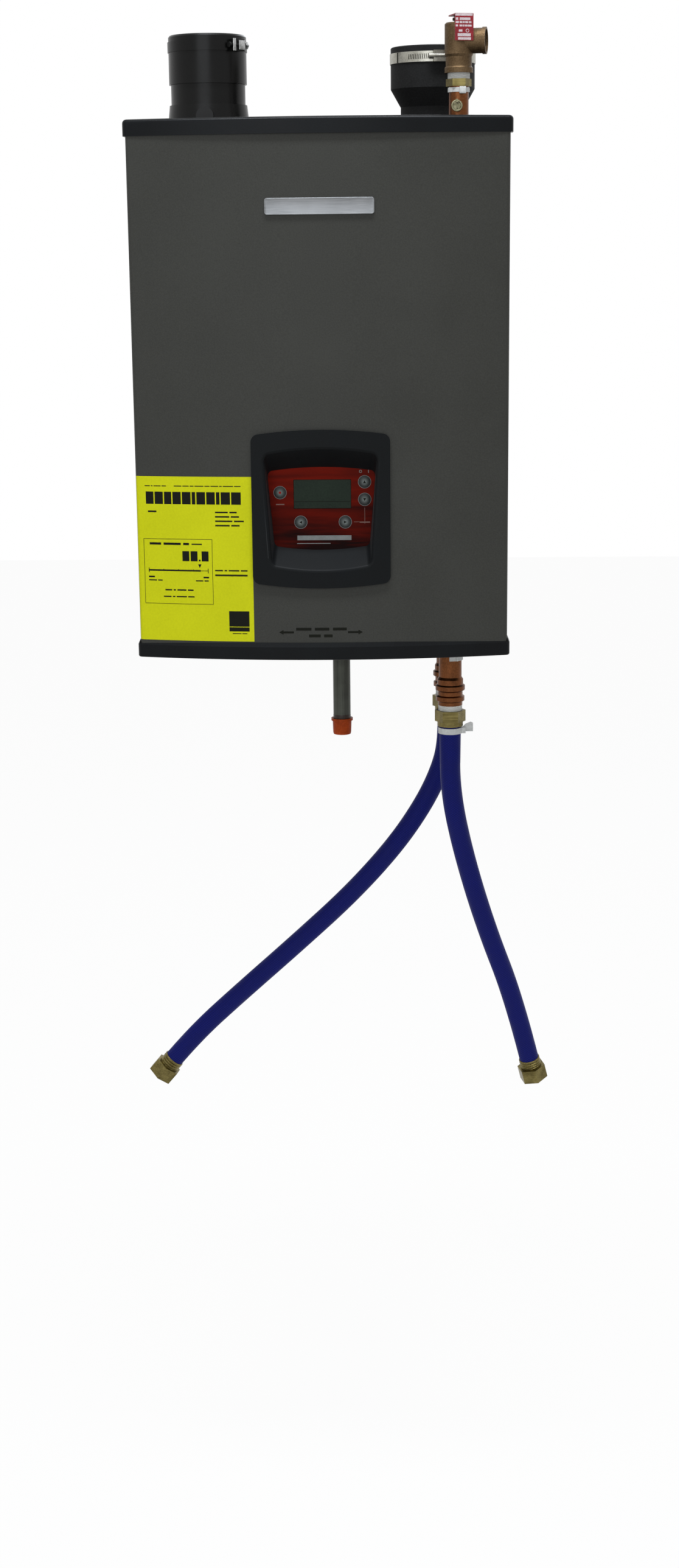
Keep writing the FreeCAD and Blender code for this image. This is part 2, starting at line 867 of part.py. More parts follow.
def opening(kind, step, depth):
    """Draw the funnel's outline at its mouth or its throat, grown by a step."""
    names = {"kind": kind, "step": step}
    top = "%(kind)s_top_width / 2 + %(step)s" % names
    base = "%(kind)s_base_width / 2 + %(step)s" % names
    low = "-%(kind)s_base_drop - %(step)s" % names
    high = "-%(kind)s_top_drop + %(step)s" % names
    crown = "-%(kind)s_crown" % names
    return outline(bezel, "XZ", [
        ("-(%s)" % base, low, crown),
        (base, low),
        (top, high, crown),
        ("-(%s)" % top, high)], depth)


FUNNEL_REAR = "(%s + bezel_gap)" % FASCIA_FRONT
funnel = bezel.newObject("PartDesign::AdditiveLoft", "Funnel")
funnel.Profile = opening("mouth", "bezel_wall", BEZEL_NOSE)
funnel.Sections = [opening("throat", "bezel_wall", FUNNEL_REAR)]
funnel.Ruled = True
doc.recompute()
SWEEP_HALF = "(%s + bezel_skin)" % BEZEL_HALF
sweep = outline(bezel, "XY", [
    ("-" + SWEEP_HALF, "%s - %s" % (bow_sag(SWEEP_HALF), BEZEL_NOSE), "-" + bow_sag(SWEEP_HALF)),
    (SWEEP_HALF, "%s - %s" % (bow_sag(SWEEP_HALF), BEZEL_NOSE)),
    (SWEEP_HALF, "-%s - bezel_skin" % BEZEL_NOSE),
    ("-" + SWEEP_HALF, "-%s - bezel_skin" % BEZEL_NOSE)], "-bezel_drop")
pocket(bezel, sweep, "2 * bezel_height", both=True)
hollow = bezel.newObject("PartDesign::SubtractiveLoft", "Hollow")
hollow.Profile = opening("mouth", "0", BEZEL_NOSE + " + 0.1")
hollow.Sections = [opening("throat", "0", FUNNEL_REAR + " - 0.1")]
hollow.Ruled = True
doc.recompute()
THROATS = ("throat_top_width / 2", "throat_base_width / 2")
soften(bezel, "throat_round", lambda edge: edge.BoundBox.YLength > value("cover_bow") / 2
       and min(abs(abs(vertex.X) - value(name))
               for vertex in edge.Vertexes for name in THROATS) < 0.1)
FRONT_REACH = value("cover_bow") / 3


def front_rims(mouth):
    """Return a test for the edges of the bezel's bowed front, round its mouth or round its outside."""
    doc.recompute()
    front = max((face for face in bezel.Tip.Shape.Faces
                 if face.CenterOfMass.y < FRONT_REACH - value(BEZEL_NOSE)), key=lambda face: face.Area)
    outside = front.OuterWire.Edges
    return lambda edge: any(edge.isSame(rim) for rim in front.Edges) \
        and mouth != any(edge.isSame(rim) for rim in outside)


soften(bezel, "mouth_round", front_rims(True))
soften(bezel, "bezel_round", front_rims(False))
keep("control_bezel", bezel)

# Cover hooks: folded tabs under the top trim that hang over the top plate's front flange
HOOK_TOP = "(cab_top - trim_wall)"
HOOK_FRONT = "(%s + 6)" % COVER_SIDE
HOOK_END = "(cab_depth - hook_tail)"


def cover_hook(name, side):
    """Fold one hook."""
    body = new_body(name)
    pad(body, outline(body, "YZ", [
        ("-" + HOOK_FRONT, HOOK_TOP),
        ("-" + HOOK_FRONT, HOOK_TOP + " - hook_gauge"),
        ("-%s - hook_gauge" % HOOK_END, HOOK_TOP + " - hook_gauge"),
        ("-%s - hook_gauge" % HOOK_END, HOOK_TOP + " - hook_leg"),
        ("-" + HOOK_END, HOOK_TOP + " - hook_leg"),
        ("-" + HOOK_END, HOOK_TOP)]), "hook_width", both=True)
    return put(body, (side + "hook_offset", "0", "0"))


keep("cover_hooks", group("cover_hooks", cover_hook("hook_left", "-"), cover_hook("hook_right", "")))


def latch_stud(name, side):
    """Turn one ball stud, which the bottom plate's flange receives."""
    return lathe(name, (side + "stud_offset", "-" + COVER_BACK, STUD_LEVEL), [
        ("0", "0"),
        ("stud_radius", "0"),
        ("stud_radius", "stud_length / 2"),
        ("stud_head", "stud_length * 0.6"),
        ("stud_head", "stud_length * 0.8"),
        ("stud_radius / 2", "stud_length"),
        ("0", "stud_length")], ALONG_BACK)


keep("latch_studs", group(
    "latch_studs", latch_stud("stud_left", "-"), latch_stud("stud_right", "")))

# Control panel: a rail across the chassis carries a tray with the board, display and fascia
keep("control_bracket", block(
    "control_bracket",
    ("sheet_wall + seat_gap - " + HALF, "-" + HOUSING_BACK, "-%s - bracket_band / 2" % PANEL_BASE),
    ("cab_width - 2 * sheet_wall - 2 * seat_gap", "sheet_wall", "bracket_band")))

TRAY_HALF = "(%s + housing_wall)" % PANEL_HALF
TRAY_HEIGHT = "(%s - %s + 2 * housing_wall)" % (PANEL_BASE, PANEL_TOP)
tray_outer = block(
    "tray_outer", ("-" + TRAY_HALF, "-" + FASCIA_BACK, "-%s - housing_wall" % PANEL_BASE),
    ("2 * " + TRAY_HALF, "%s - %s" % (FASCIA_BACK, HOUSING_BACK), TRAY_HEIGHT))
tray_inner = block(
    "tray_inner", ("-" + PANEL_HALF, "-" + FASCIA_BACK, "-" + PANEL_BASE),
    ("2 * " + PANEL_HALF, "%s - %s - housing_wall" % (FASCIA_BACK, HOUSING_BACK),
     "%s - %s" % (PANEL_BASE, PANEL_TOP)))


def board_post(name, side, drop):
    """Make a post between the tray's back and the board."""
    return rod(
        name, (side + "(%s - 2 * post_radius)" % PANEL_HALF, "board_thick - " + BOARD_FRONT, drop),
        "post_radius", "%s - board_thick - %s - housing_wall" % (BOARD_FRONT, HOUSING_BACK),
        ALONG_BACK)


POST_HIGH = "-%s - 2 * post_radius" % PANEL_TOP
POST_LOW = "-%s + 2 * post_radius" % PANEL_BASE
keep("control_housing", join(
    "control_housing", cut("tray", tray_outer, tray_inner),
    board_post("post_a", "-", POST_HIGH),
    board_post("post_b", "", POST_HIGH),
    board_post("post_c", "-", POST_LOW),
    board_post("post_d", "", POST_LOW)))
keep("control_board", block(
    "control_board", ("seat_gap - " + PANEL_HALF, "-" + BOARD_FRONT, "seat_gap - " + PANEL_BASE),
    ("2 * %s - 2 * seat_gap" % PANEL_HALF, "board_thick",
     "%s - %s - 2 * seat_gap" % (PANEL_BASE, PANEL_TOP))))
keep("display_window", block(
    "display_window",
    ("display_offset - display_width / 2", "display_sunk - " + FASCIA_FRONT,
     "-display_drop - display_height / 2"),
    ("display_width", "%s - display_sunk - %s" % (FASCIA_FRONT, BOARD_FRONT), "display_height")))


def key_hole(name, across, drop):
    """Make the cutter of a button's hole in the fascia."""
    return rod(name, (across, "-%s - 1" % FASCIA_FRONT, drop), "key_radius + key_slack",
               "fascia_thick + 2", ALONG_BACK)


fascia_plate = block(
    "fascia_plate", ("-" + TRAY_HALF, "-" + FASCIA_FRONT, "-%s - housing_wall" % PANEL_BASE),
    ("2 * " + TRAY_HALF, "fascia_thick", TRAY_HEIGHT))
display_hole = block(
    "display_hole",
    ("display_offset - display_width / 2 - seat_gap", "-%s - 1" % FASCIA_FRONT,
     "-display_drop - display_height / 2 - seat_gap"),
    ("display_width + 2 * seat_gap", "fascia_thick + 2", "display_height + 2 * seat_gap"))
keep("control_fascia", cut(
    "control_fascia", fascia_plate, display_hole,
    key_hole("reset_hole", "-reset_offset", "-reset_drop"),
    key_hole("up_hole", "arrow_column", "-up_drop"),
    key_hole("down_hole", "arrow_column", "-down_drop"),
    key_hole("back_hole", "-back_offset", "-row_drop"),
    key_hole("next_hole", "next_offset", "-row_drop")))

KEY_REST = "(%s + key_travel + key_slack)" % BOARD_FRONT
KEY_FLANGE = "(board_gap - key_travel - 2 * key_slack)"
KEY_TOP = "(board_gap + fascia_thick + key_proud - key_travel - key_slack)"


def button(label, across, drop):
    """Turn one domed button with a flange that the fascia keeps in."""
    keep(label, lathe(label, (across, "-" + KEY_REST, drop), [
        ("0", "0"),
        ("key_radius / 2", "0"),
        ("key_radius / 2", KEY_FLANGE + " - 1.2"),
        ("key_radius + key_rim", KEY_FLANGE + " - 1.2"),
        ("key_radius + key_rim", KEY_FLANGE),
        ("key_radius", KEY_FLANGE),
        ("key_radius", KEY_TOP + " - key_proud * 0.8", "-key_proud * 0.15"),
        ("key_radius / 4", KEY_TOP),
        ("0", KEY_TOP)], ALONG_FRONT))


button("button_reset", "-reset_offset", "-reset_drop")
button("button_up", "arrow_column", "-up_drop")
button("button_down", "arrow_column", "-down_drop")
button("button_back", "-back_offset", "-row_drop")
button("button_next", "next_offset", "-row_drop")


def worm_clamp(label, where, radius, level, yaw):
    """Make a band round a sleeve with a screw housing, turned to face a side."""
    body = new_body(label)
    inner = "(%s + 0.1)" % radius
    outer = "(%s + 0.1 + clamp_gauge)" % radius
    turned(body, [
        (inner, level), (outer, level), (outer, level + " + clamp_width"),
        (inner, level + " + clamp_width")])
    pad(body, outline(body, "XY", [
        ("-3 * screw_radius", "-%s - 2 * screw_radius" % inner),
        ("3 * screw_radius", "-%s - 2 * screw_radius" % inner),
        ("3 * screw_radius", "0.6 - " + inner),
        ("-3 * screw_radius", "0.6 - " + inner)], level + " - 0.5"), "clamp_width + 1")
    doc.recompute()
    clear = new_sketch(body, "XY", level + " - 1")
    ring(clear, ("0", "0"), inner)
    pocket(body, clear, "clamp_width + 2", upward=True)
    screw = new_sketch(body, "YZ")
    ring(screw, ("-%s - 1.2 * screw_radius" % inner, level + " + clamp_width / 2"), "screw_radius")
    pad(body, screw, "9.5 * screw_radius", both=True)
    keep(label, put(body, where, Rotation(Vector(0, 0, 1), yaw)))


# Vent: a base on the top plate, a sleeve that receives the flue pipe, and its clamp
VENT = ("-vent_offset", "-vent_back", PLATE_TOP)
vent = new_body("vent_base")
turned(vent, [
    ("riser_radius + seat_gap", "0"),
    ("vent_flange", "0"),
    ("vent_flange", "flange_thick"),
    ("vent_outer + vent_flare", "flange_thick"),
    ("vent_outer", "vent_step - 23"),
    ("vent_outer - 2", "vent_step - 23"),
    ("vent_outer - 2", "vent_step"),
    ("vent_bore", "vent_step"),
    ("vent_bore", "riser_seat"),
    ("riser_radius + seat_gap", "riser_seat")])
port = new_sketch(vent, "XZ", "vent_outer - 2")
ring(port, ("0", "port_height"), "port_radius")
pad(vent, port, "port_radius + 3")
put(vent, VENT)
keep("vent_base", vent)
keep("vent_sleeve", lathe("vent_sleeve", VENT, [
    ("vent_bore", "vent_step"),
    ("vent_outer", "vent_step"),
    ("vent_outer", "vent_height - 2"),
    ("vent_outer - 1.5", "vent_height"),
    ("vent_bore + 1", "vent_height"),
    ("vent_bore", "vent_height - 2")]))
worm_clamp("vent_clamp", VENT, "vent_outer", "(vent_height - clamp_down - clamp_width)", 50)
keep("flue_riser", tube(
    "flue_riser", ("-vent_offset", "-vent_back", SHELL_LOW + " - sump_depth + socket_height - socket_depth"),
    "riser_radius", "riser_radius - riser_wall",
    "%s + riser_seat - %s + sump_depth - socket_height + socket_depth" % (PLATE_TOP, SHELL_LOW)))

# Air intake: a spigot on the top plate that reaches the blower, a rubber cup and its clamp
INTAKE = ("intake_offset", "-intake_back", PLATE_TOP)
INTAKE_LOW = "(blower_high - %s)" % PLATE_TOP
keep("intake_spigot", lathe("intake_spigot", INTAKE, [
    ("spigot_radius - spigot_wall", INTAKE_LOW),
    ("spigot_radius", INTAKE_LOW),
    ("spigot_radius", "0"),
    ("spigot_radius + 16", "0"),
    ("spigot_radius + 16", "flange_thick"),
    ("spigot_radius", "flange_thick"),
    ("spigot_radius", "spigot_height"),
    ("spigot_radius - spigot_wall", "spigot_height")]))
keep("intake_coupling", lathe("intake_coupling", INTAKE, [
    ("spigot_radius + 0.1", "cuff_lift"),
    ("spigot_radius + intake_wall", "cuff_lift"),
    ("spigot_radius + intake_wall", "intake_height - intake_cup - intake_taper"),
    ("intake_bore + intake_wall", "intake_height - intake_cup"),
    ("intake_bore + intake_wall", "intake_height - 1"),
    ("intake_bore + intake_wall - 1", "intake_height"),
    ("intake_bore", "intake_height"),
    ("intake_bore", "intake_height - intake_cup"),
    ("spigot_radius + 0.1", "intake_height - intake_cup - intake_taper + 2")]))
worm_clamp("intake_clamp", INTAKE, "(intake_bore + intake_wall)",
           "(intake_height - clamp_down - clamp_width)", 10)

# Supply pipe: the copper riser up to the relief valve, with a branch to the heat exchanger
DIVERTER_TOP = "(%s + diverter_height)" % DIVERTER_LOW
RISER_LENGTH = "(%s + supply_rise - %s)" % (PLATE_TOP, DIVERTER_TOP)
BRANCH_LENGTH = "(sqrt(supply_offset * supply_offset + (supply_back - shell_back)" \
                " * (supply_back - shell_back)) - shell_radius)"
SUPPLY_FOOT = ("supply_offset", "-supply_back", DIVERTER_TOP)
BRANCH_FOOT = ("supply_offset", "-supply_back", "-branch_drop")
toward_shell = Rotation(Vector(0, 0, 1), Vector(
    -value("supply_offset"), value("supply_back - shell_back"), 0))
BORE = "copper_radius - copper_wall"
keep("supply_pipe", cut(
    "supply_pipe",
    join("supply_outer", rod("riser_outer", SUPPLY_FOOT, "copper_radius", RISER_LENGTH),
         rod("branch_outer", BRANCH_FOOT, "copper_radius", BRANCH_LENGTH, toward_shell)),
    rod("riser_inner", SUPPLY_FOOT, BORE, RISER_LENGTH),
    rod("branch_inner", BRANCH_FOOT, BORE, BRANCH_LENGTH, toward_shell)))

# Relief valve: a bronze body with a side outlet and a lever, above a ring-pull bleed on the riser
RISER_TOP = "(%s + supply_rise)" % PLATE_TOP
RELIEF = ("supply_offset", "-supply_back", RELIEF_SEAT)
BLEED_X = "(supply_offset - drain_shift)"
BLEED_Z = "(%s + drain_lift)" % PLATE_TOP
pull_ring = lathe(
    "pull_ring", (BLEED_X, "-supply_back - copper_radius - drain_reach + drain_wire * 0.6", BLEED_Z), [
        ("drain_ring - drain_wire * 0.75", "-drain_wire / 2"),
        ("drain_ring - drain_wire * 0.25", "-drain_wire / 2"),
        ("drain_ring", "-drain_wire / 4"),
        ("drain_ring", "drain_wire / 4"),
        ("drain_ring - drain_wire * 0.25", "drain_wire / 2"),
        ("drain_ring - drain_wire * 0.75", "drain_wire / 2"),
        ("drain_ring - drain_wire", "drain_wire / 4"),
        ("drain_ring - drain_wire", "-drain_wire / 4")], ALONG_FRONT)
pull_peg = rod(
    "pull_peg",
    (BLEED_X, "-supply_back - copper_radius", BLEED_Z + " + drain_ring - drain_wire / 2"),
    "drain_peg", "drain_reach", ALONG_FRONT)
keep("bleed_cap", join("bleed_cap", pull_ring, pull_peg))
valve = new_body("relief_shell")
turned(valve, [
    ("0", "0"),
    ("relief_neck + 1.2", "0"),
    ("relief_neck + 1.2", "relief_height * 0.1"),
    ("relief_neck", "relief_height * 0.13"),
    ("relief_neck", "relief_height * 0.32"),
    ("relief_radius", "relief_height * 0.37"),
    ("relief_radius", "relief_height - 1.6"),
    ("relief_radius - 1.6", "relief_height"),
    ("0", "relief_height")])
spout = new_sketch(valve, "YZ")
ring(spout, ("0", "outlet_height"), "outlet_radius")
pad(valve, spout, "outlet_reach - 2")
collar = new_sketch(valve, "YZ", "outlet_reach - outlet_bead")
ring(collar, ("0", "outlet_height"), "outlet_rim")
pad(valve, collar, "outlet_bead")
doc.recompute()
mouth = new_sketch(valve, "YZ", "outlet_reach")
ring(mouth, ("0", "outlet_height"), "outlet_bore")
pocket(valve, mouth, "outlet_depth")
put(valve, RELIEF, Rotation(Vector(0, 0, 1), -value("outlet_yaw")))

lever_turn = Rotation(Vector(0, 0, 1), value("lever_yaw"))
stem = new_body("relief_stem")
pad(stem, outline(stem, "XY", [
    ("-3", "-2"), ("3", "-2"), ("3", "2"), ("-3", "2")], "relief_height - 1"),
    "lever_pin - relief_height + 3")
pin = new_sketch(stem, "YZ")
ring(pin, ("0", "lever_pin"), "pin_radius")
pad(stem, pin, "14", both=True)
put(stem, RELIEF, lever_turn)
keep("relief_valve", join("relief_valve", valve, stem))

LEVER_TOP = "(lever_pin + ear_radius + 1)"
lever = new_body("relief_lever")
pad(lever, outline(lever, "YZ", [
    ("-lever_reach", LEVER_TOP + " - lever_drop"),
    ("lever_gauge - lever_reach", LEVER_TOP + " - lever_drop"),
    ("lever_gauge - lever_reach", LEVER_TOP + " - lever_gauge"),
    ("lever_tail", LEVER_TOP + " - lever_gauge"),
    ("lever_tail", LEVER_TOP),
    ("-lever_reach", LEVER_TOP)]), "lever_width", both=True)


def lever_ear(offset):
    """Add a bored ear that hangs on the pin."""
    ear = new_sketch(lever, "YZ", offset)
    draw(ear, [
        ("-ear_radius", LEVER_TOP + " - lever_gauge / 2"),
        ("-ear_radius", "lever_pin", "-ear_radius * 0.9"),
        ("ear_radius", "lever_pin"),
        ("ear_radius", LEVER_TOP + " - lever_gauge / 2")])
    ring(ear, ("0", "lever_pin"), "pin_radius + pin_slack")
    pad(lever, ear, "1.5")


lever_ear("-5")
lever_ear("3.5")
put(lever, RELIEF, lever_turn)
keep("relief_lever", lever)

# Heat exchanger: a closed shell with a bolted burner door, held by a saddle on the back panel,
# and the ignition: an electrode in the door and a transformer on the left side panel
SHELL = ("0", "-shell_back", "0")
keep("heat_exchanger", lathe("heat_exchanger", SHELL, [
    ("0", SHELL_LOW),
    ("sump_radius", SHELL_LOW),
    ("sump_radius + 10", SHELL_LOW + " + 8"),
    ("shell_radius", SHELL_LOW + " + 18"),
    ("shell_radius", "-shell_top - rim_height"),
    ("shell_radius + rim_width", "-shell_top - rim_height"),
    ("shell_radius + rim_width", "-shell_top"),
    ("0", "-shell_top")]))
keep("shell_saddle", cut(
    "shell_saddle",
    block("saddle_block",
          ("-saddle_width / 2", "-shell_back + shell_radius / 2", "-saddle_drop - saddle_height"),
          ("saddle_width", "shell_back - shell_radius / 2 - " + PANEL_FACE, "saddle_height")),
    rod("saddle_seat", ("0", "-shell_back", "-saddle_drop - saddle_height - 1"),
        "shell_radius + 0.1", "saddle_height + 2"),
    block("saddle_window",
          ("-saddle_width / 2 + 3", "-shell_back", "-saddle_drop - saddle_height + 20"),
          ("saddle_width - 6", "shell_back - %s - 2" % PANEL_FACE, "saddle_height - 40"))))
door = new_body("burner_door")
turned(door, [
    ("0", "-shell_top"),
    ("shell_radius + 2", "-shell_top"),
    ("shell_radius + 2", DOOR_TOP),
    ("duct_radius + 8", DOOR_TOP),
    ("duct_radius + 8", DOOR_TOP + " + door_boss"),
    ("0", DOOR_TOP + " + door_boss")])
nut = new_sketch(door, "XY", DOOR_TOP)
ring(nut, ("shell_radius - 8", "0"), "door_nut_radius")
door_nut = pad(door, nut, "door_nut_height")
nuts = door.newObject("PartDesign::PolarPattern", "Nuts")
nuts.Originals = [door_nut]
nuts.Axis = (nut, ["N_Axis"])
nuts.Angle = 360
nuts.setExpression("Occurrences", bind("door_nuts"))
door.Tip = nuts
put(door, SHELL)
keep("burner_door", door)
electrode = lathe(
    "electrode", ("-shell_radius / 2", "-shell_back - shell_radius / 2.6", DOOR_TOP), [
        ("0", "0"),
        ("igniter_radius", "0"),
        ("igniter_radius", "igniter_height / 3"),
        ("igniter_radius / 2", "igniter_height / 2.5"),
        ("igniter_radius / 2", "igniter_height"),
        ("0", "igniter_height")])
transformer = block(
    "transformer", ("sheet_wall - " + HALF, "-spark_front", "-spark_drop"),
    ("spark_width", "spark_depth", "spark_height"))
keep("ignition_set", group("ignition_set", electrode, transformer))

# Blower: a round housing with an open inlet, a bladed wheel on the motor's shaft, and a duct
BLOWER = ("intake_offset", "-intake_back", "0")
keep("blower_housing", lathe("blower_housing", BLOWER, [
    ("shaft_radius + 2", "-blower_low"),
    ("blower_radius", "-blower_low"),
    ("blower_radius", "blower_high"),
    ("inlet_radius", "blower_high"),
    ("inlet_radius", "blower_high - blower_wall"),
    ("blower_radius - blower_wall", "blower_high - blower_wall"),
    ("blower_radius - blower_wall", "blower_wall - blower_low"),
    ("shaft_radius + 2", "blower_wall - blower_low")]))
WHEEL_LOW = "(blower_wall - blower_low + wheel_lift)"
wheel = new_body("blower_wheel")
turned(wheel, [
    ("0", "-blower_low - shaft_length"),
    ("shaft_radius", "-blower_low - shaft_length"),
    ("shaft_radius", WHEEL_LOW),
    ("wheel_radius", WHEEL_LOW),
    ("wheel_radius", WHEEL_LOW + " + wheel_disc"),
    ("2 * shaft_radius", WHEEL_LOW + " + wheel_disc"),
    ("2 * shaft_radius", WHEEL_LOW + " + blade_height / 2"),
    ("0", WHEEL_LOW + " + blade_height / 2")])
vane = outline(wheel, "XY", [
    ("blade_inner", "0"),
    ("wheel_radius - 1", "-blade_inner / 2"),
    ("wheel_radius - 1", "blade_thick - blade_inner / 2"),
    ("blade_inner", "blade_thick")], WHEEL_LOW)
blade = pad(wheel, vane, "wheel_disc + blade_height")
blades = wheel.newObject("PartDesign::PolarPattern", "Blades")
blades.Originals = [blade]
blades.Axis = (vane, ["N_Axis"])
blades.Angle = 360
blades.setExpression("Occurrences", bind("blade_count"))
wheel.Tip = blades
put(wheel, BLOWER)
keep("blower_wheel", wheel)
keep("blower_motor", lathe("blower_motor", BLOWER, [
    ("0", "-blower_low - motor_height"),
    ("motor_radius", "-blower_low - motor_height"),
    ("motor_radius", "-blower_low"),
    ("shaft_radius + shaft_slack", "-blower_low"),
    ("shaft_radius + shaft_slack", "-blower_low - shaft_length - 0.5"),
    ("0", "-blower_low - shaft_length - 0.5")]))
DUCT_LOW = "(%s + door_boss)" % DOOR_TOP
keep("mixture_duct", cut(
    "mixture_duct",
    join("duct_whole",
         block("duct_run", ("0", "-shell_back - duct_width / 2", DUCT_LOW),
               ("intake_offset - blower_radius / 2", "duct_width", "duct_height")),
         rod("duct_drop", ("0", "-shell_back", DUCT_LOW), "duct_radius", "duct_height")),
    rod("duct_seat", ("intake_offset", "-intake_back", DUCT_LOW + " - 1"), "blower_radius + 0.1",
        "duct_height + 2")))

# Gas line: a steel pipe from below, bent across to the gas valve, with a plastic end cap
GAS_LOW = "(%s - gas_reach)" % PLATE_LOW
GAS_LEVEL = "(gas_reach + gas_run)"
GAS_SPAN = "sqrt((valve_offset - gas_offset) * (valve_offset - gas_offset)" \
           " + (gas_back - valve_back) * (gas_back - valve_back))"
QUARTER = "(1 - sqrt(0.5))"
gas_yaw = math.degrees(math.atan2(value("gas_back - valve_back"), value("valve_offset - gas_offset")))
keep("gas_pipe", blend("gas_pipe", ("gas_offset", "-gas_back", GAS_LOW), gas_yaw, [
    ("0", "0"),
    ("0", GAS_LEVEL + " - gas_bend", "%s * gas_bend" % QUARTER),
    ("gas_bend", GAS_LEVEL),
    (GAS_SPAN + " - gas_bend", GAS_LEVEL, "-%s * gas_bend" % QUARTER),
    (GAS_SPAN, GAS_LEVEL + " + gas_bend"),
    (GAS_SPAN, "-valve_drop - valve_height - " + GAS_LOW)], "gas_radius", "gas_radius - gas_wall"))
keep("gas_cap", lathe("gas_cap", ("gas_offset", "-gas_back", GAS_LOW), [
    ("0", "-plug_wall"),
    ("gas_radius", "-plug_wall"),
    ("gas_radius + plug_wall / 2", "1"),
    ("gas_radius + plug_wall", "plug_length - plug_skirt"),
    ("gas_radius + plug_lip", "plug_length - plug_skirt"),
    ("gas_radius + plug_lip", "plug_length"),
    ("gas_radius + 0.1", "plug_length"),
    ("gas_radius + 0.1", "0"),
    ("0", "0")]))
VALVE_FACE = "(%s + valve_depth)" % PANEL_FACE
keep("gas_valve", join(
    "gas_valve",
    block("valve_block", ("valve_offset + 10 - valve_width", "-" + VALVE_FACE,
                          "-valve_drop - valve_height"),
          ("valve_width", "valve_depth", "valve_height")),
    rod("coil_a", ("valve_offset - valve_width / 2", "1 - " + VALVE_FACE,
                   "-valve_drop - valve_height / 2"), "coil_radius", "coil_length", ALONG_FRONT),
    rod("coil_b", ("valve_offset - valve_width / 2 + 2.2 * coil_radius", "1 - " + VALVE_FACE,
                   "-valve_drop - valve_height / 2"), "coil_radius", "coil_length", ALONG_FRONT)))

# Flue sump under the shell, with a socket for the riser, and the condensate trap below it
SUMP_LOW = "(%s - sump_depth)" % SHELL_LOW
keep("flue_sump", cut(
    "flue_sump",
    join("sump_whole",
         rod("sump_cup", ("0", "-shell_back", SUMP_LOW), "sump_radius", "sump_depth"),
         block("sump_link", ("-vent_offset", "-vent_back - link_width / 2", SUMP_LOW),
               ("vent_offset", "link_width", "link_height")),
         rod("sump_socket", ("-vent_offset", "-vent_back", SUMP_LOW), "riser_radius + socket_wall",
             "socket_height")),
    rod("sump_bore", ("-vent_offset", "-vent_back", SUMP_LOW + " + socket_height - socket_depth"),
        "riser_radius + 0.1", "socket_depth + 1")))
keep("condensate_trap", lathe("condensate_trap", ("-trap_offset", "-trap_back", SUMP_LOW), [
    ("0", "0"),
    ("trap_radius", "0"),
    ("trap_radius", "-trap_height"),
    ("drain_tube + 1", "-trap_height"),
    ("drain_tube + 1", "%s - 1 - %s" % (PLATE_LOW, SUMP_LOW)),
    ("drain_tube", "%s - 1 - %s" % (PLATE_LOW, SUMP_LOW)),
    ("drain_tube", "%s - drain_below - %s" % (PLATE_LOW, SUMP_LOW)),
    ("0", "%s - drain_below - %s" % (PLATE_LOW, SUMP_LOW))]))

# Water side: press fittings through the bottom plate, pump, diverter valve and return pipe


def press_fitting(name, across, back, top):
    """Turn one copper press fitting with two beads."""
    return lathe(name, (across, "-" + back, PORT_LOW), [
        ("bore_radius", "0"),
        ("fitting_radius + 1", "0"),
        ("fitting_radius + 1", "4"),
        ("fitting_radius + fitting_bead - 0.5", "5.5"),
        ("fitting_radius + fitting_bead - 0.5", "10.5"),
        ("fitting_radius + 1.3", "12"),
        ("fitting_radius + 1.3", "16.5"),
        ("fitting_radius + fitting_bead", "18.5"),
        ("fitting_radius + fitting_bead", "23.5"),
        ("fitting_radius + fitting_swell", "25"),
        ("fitting_radius + fitting_swell", "31"),
        ("fitting_radius", "34"),
        ("fitting_radius", top),
        ("bore_radius", top)])


keep("press_fittings", group(
    "press_fittings",
    press_fitting("supply_fitting", "port_offset", "supply_back",
                  "%s - 8 - %s" % (DIVERTER_LOW, PORT_LOW)),
    press_fitting("return_fitting", "return_offset", "return_back",
                  "%s - boss_reach - %s" % (PUMP_LEVEL, PORT_LOW))))
keep("diverter_valve", join(
    "diverter_valve",
    block("diverter_block", ("port_offset + 4 - diverter_width / 2",
                             "-supply_back - diverter_width / 2", DIVERTER_LOW),
          ("diverter_width", "diverter_width", "diverter_height")),
    rod("diverter_boss", ("port_offset", "-supply_back", DIVERTER_LOW + " - 8"), "boss_radius", "9"),
    rod("diverter_head", ("port_offset + 5 - diverter_width / 2", "-supply_back",
                          DIVERTER_LOW + " + diverter_height / 2"),
        "actuator_radius", "actuator_length", ALONG_LEFT)))
keep("pump", join(
    "pump",
    rod("pump_wet", ("return_offset", "-return_back - pump_depth / 2", PUMP_LEVEL),
        "pump_radius", "pump_depth", ALONG_BACK),
    rod("pump_can", ("return_offset", "-return_back", PUMP_LEVEL), "pump_motor",
        "pump_radius + pump_motor_length", ALONG_LEFT),
    rod("pump_bosses", ("return_offset", "-return_back", PUMP_LEVEL + " - boss_reach"),
        "boss_radius", "2 * boss_reach")))
RETURN_RISE = "(-return_drop - %s - boss_reach)" % PUMP_LEVEL
RETURN_SPAN = "(sqrt(return_offset * return_offset + (return_back - shell_back)" \
              " * (return_back - shell_back)) - shell_radius)"
return_yaw = math.degrees(math.atan2(value("return_back - shell_back"), -value("return_offset")))
keep("return_pipe", blend(
    "return_pipe", ("return_offset", "-return_back", PUMP_LEVEL + " + boss_reach"), return_yaw, [
        ("0", "0"),
        ("0", RETURN_RISE + " - pipe_bend", "%s * pipe_bend" % QUARTER),
        ("pipe_bend", RETURN_RISE),
        (RETURN_SPAN, RETURN_RISE)], "copper_radius", BORE))

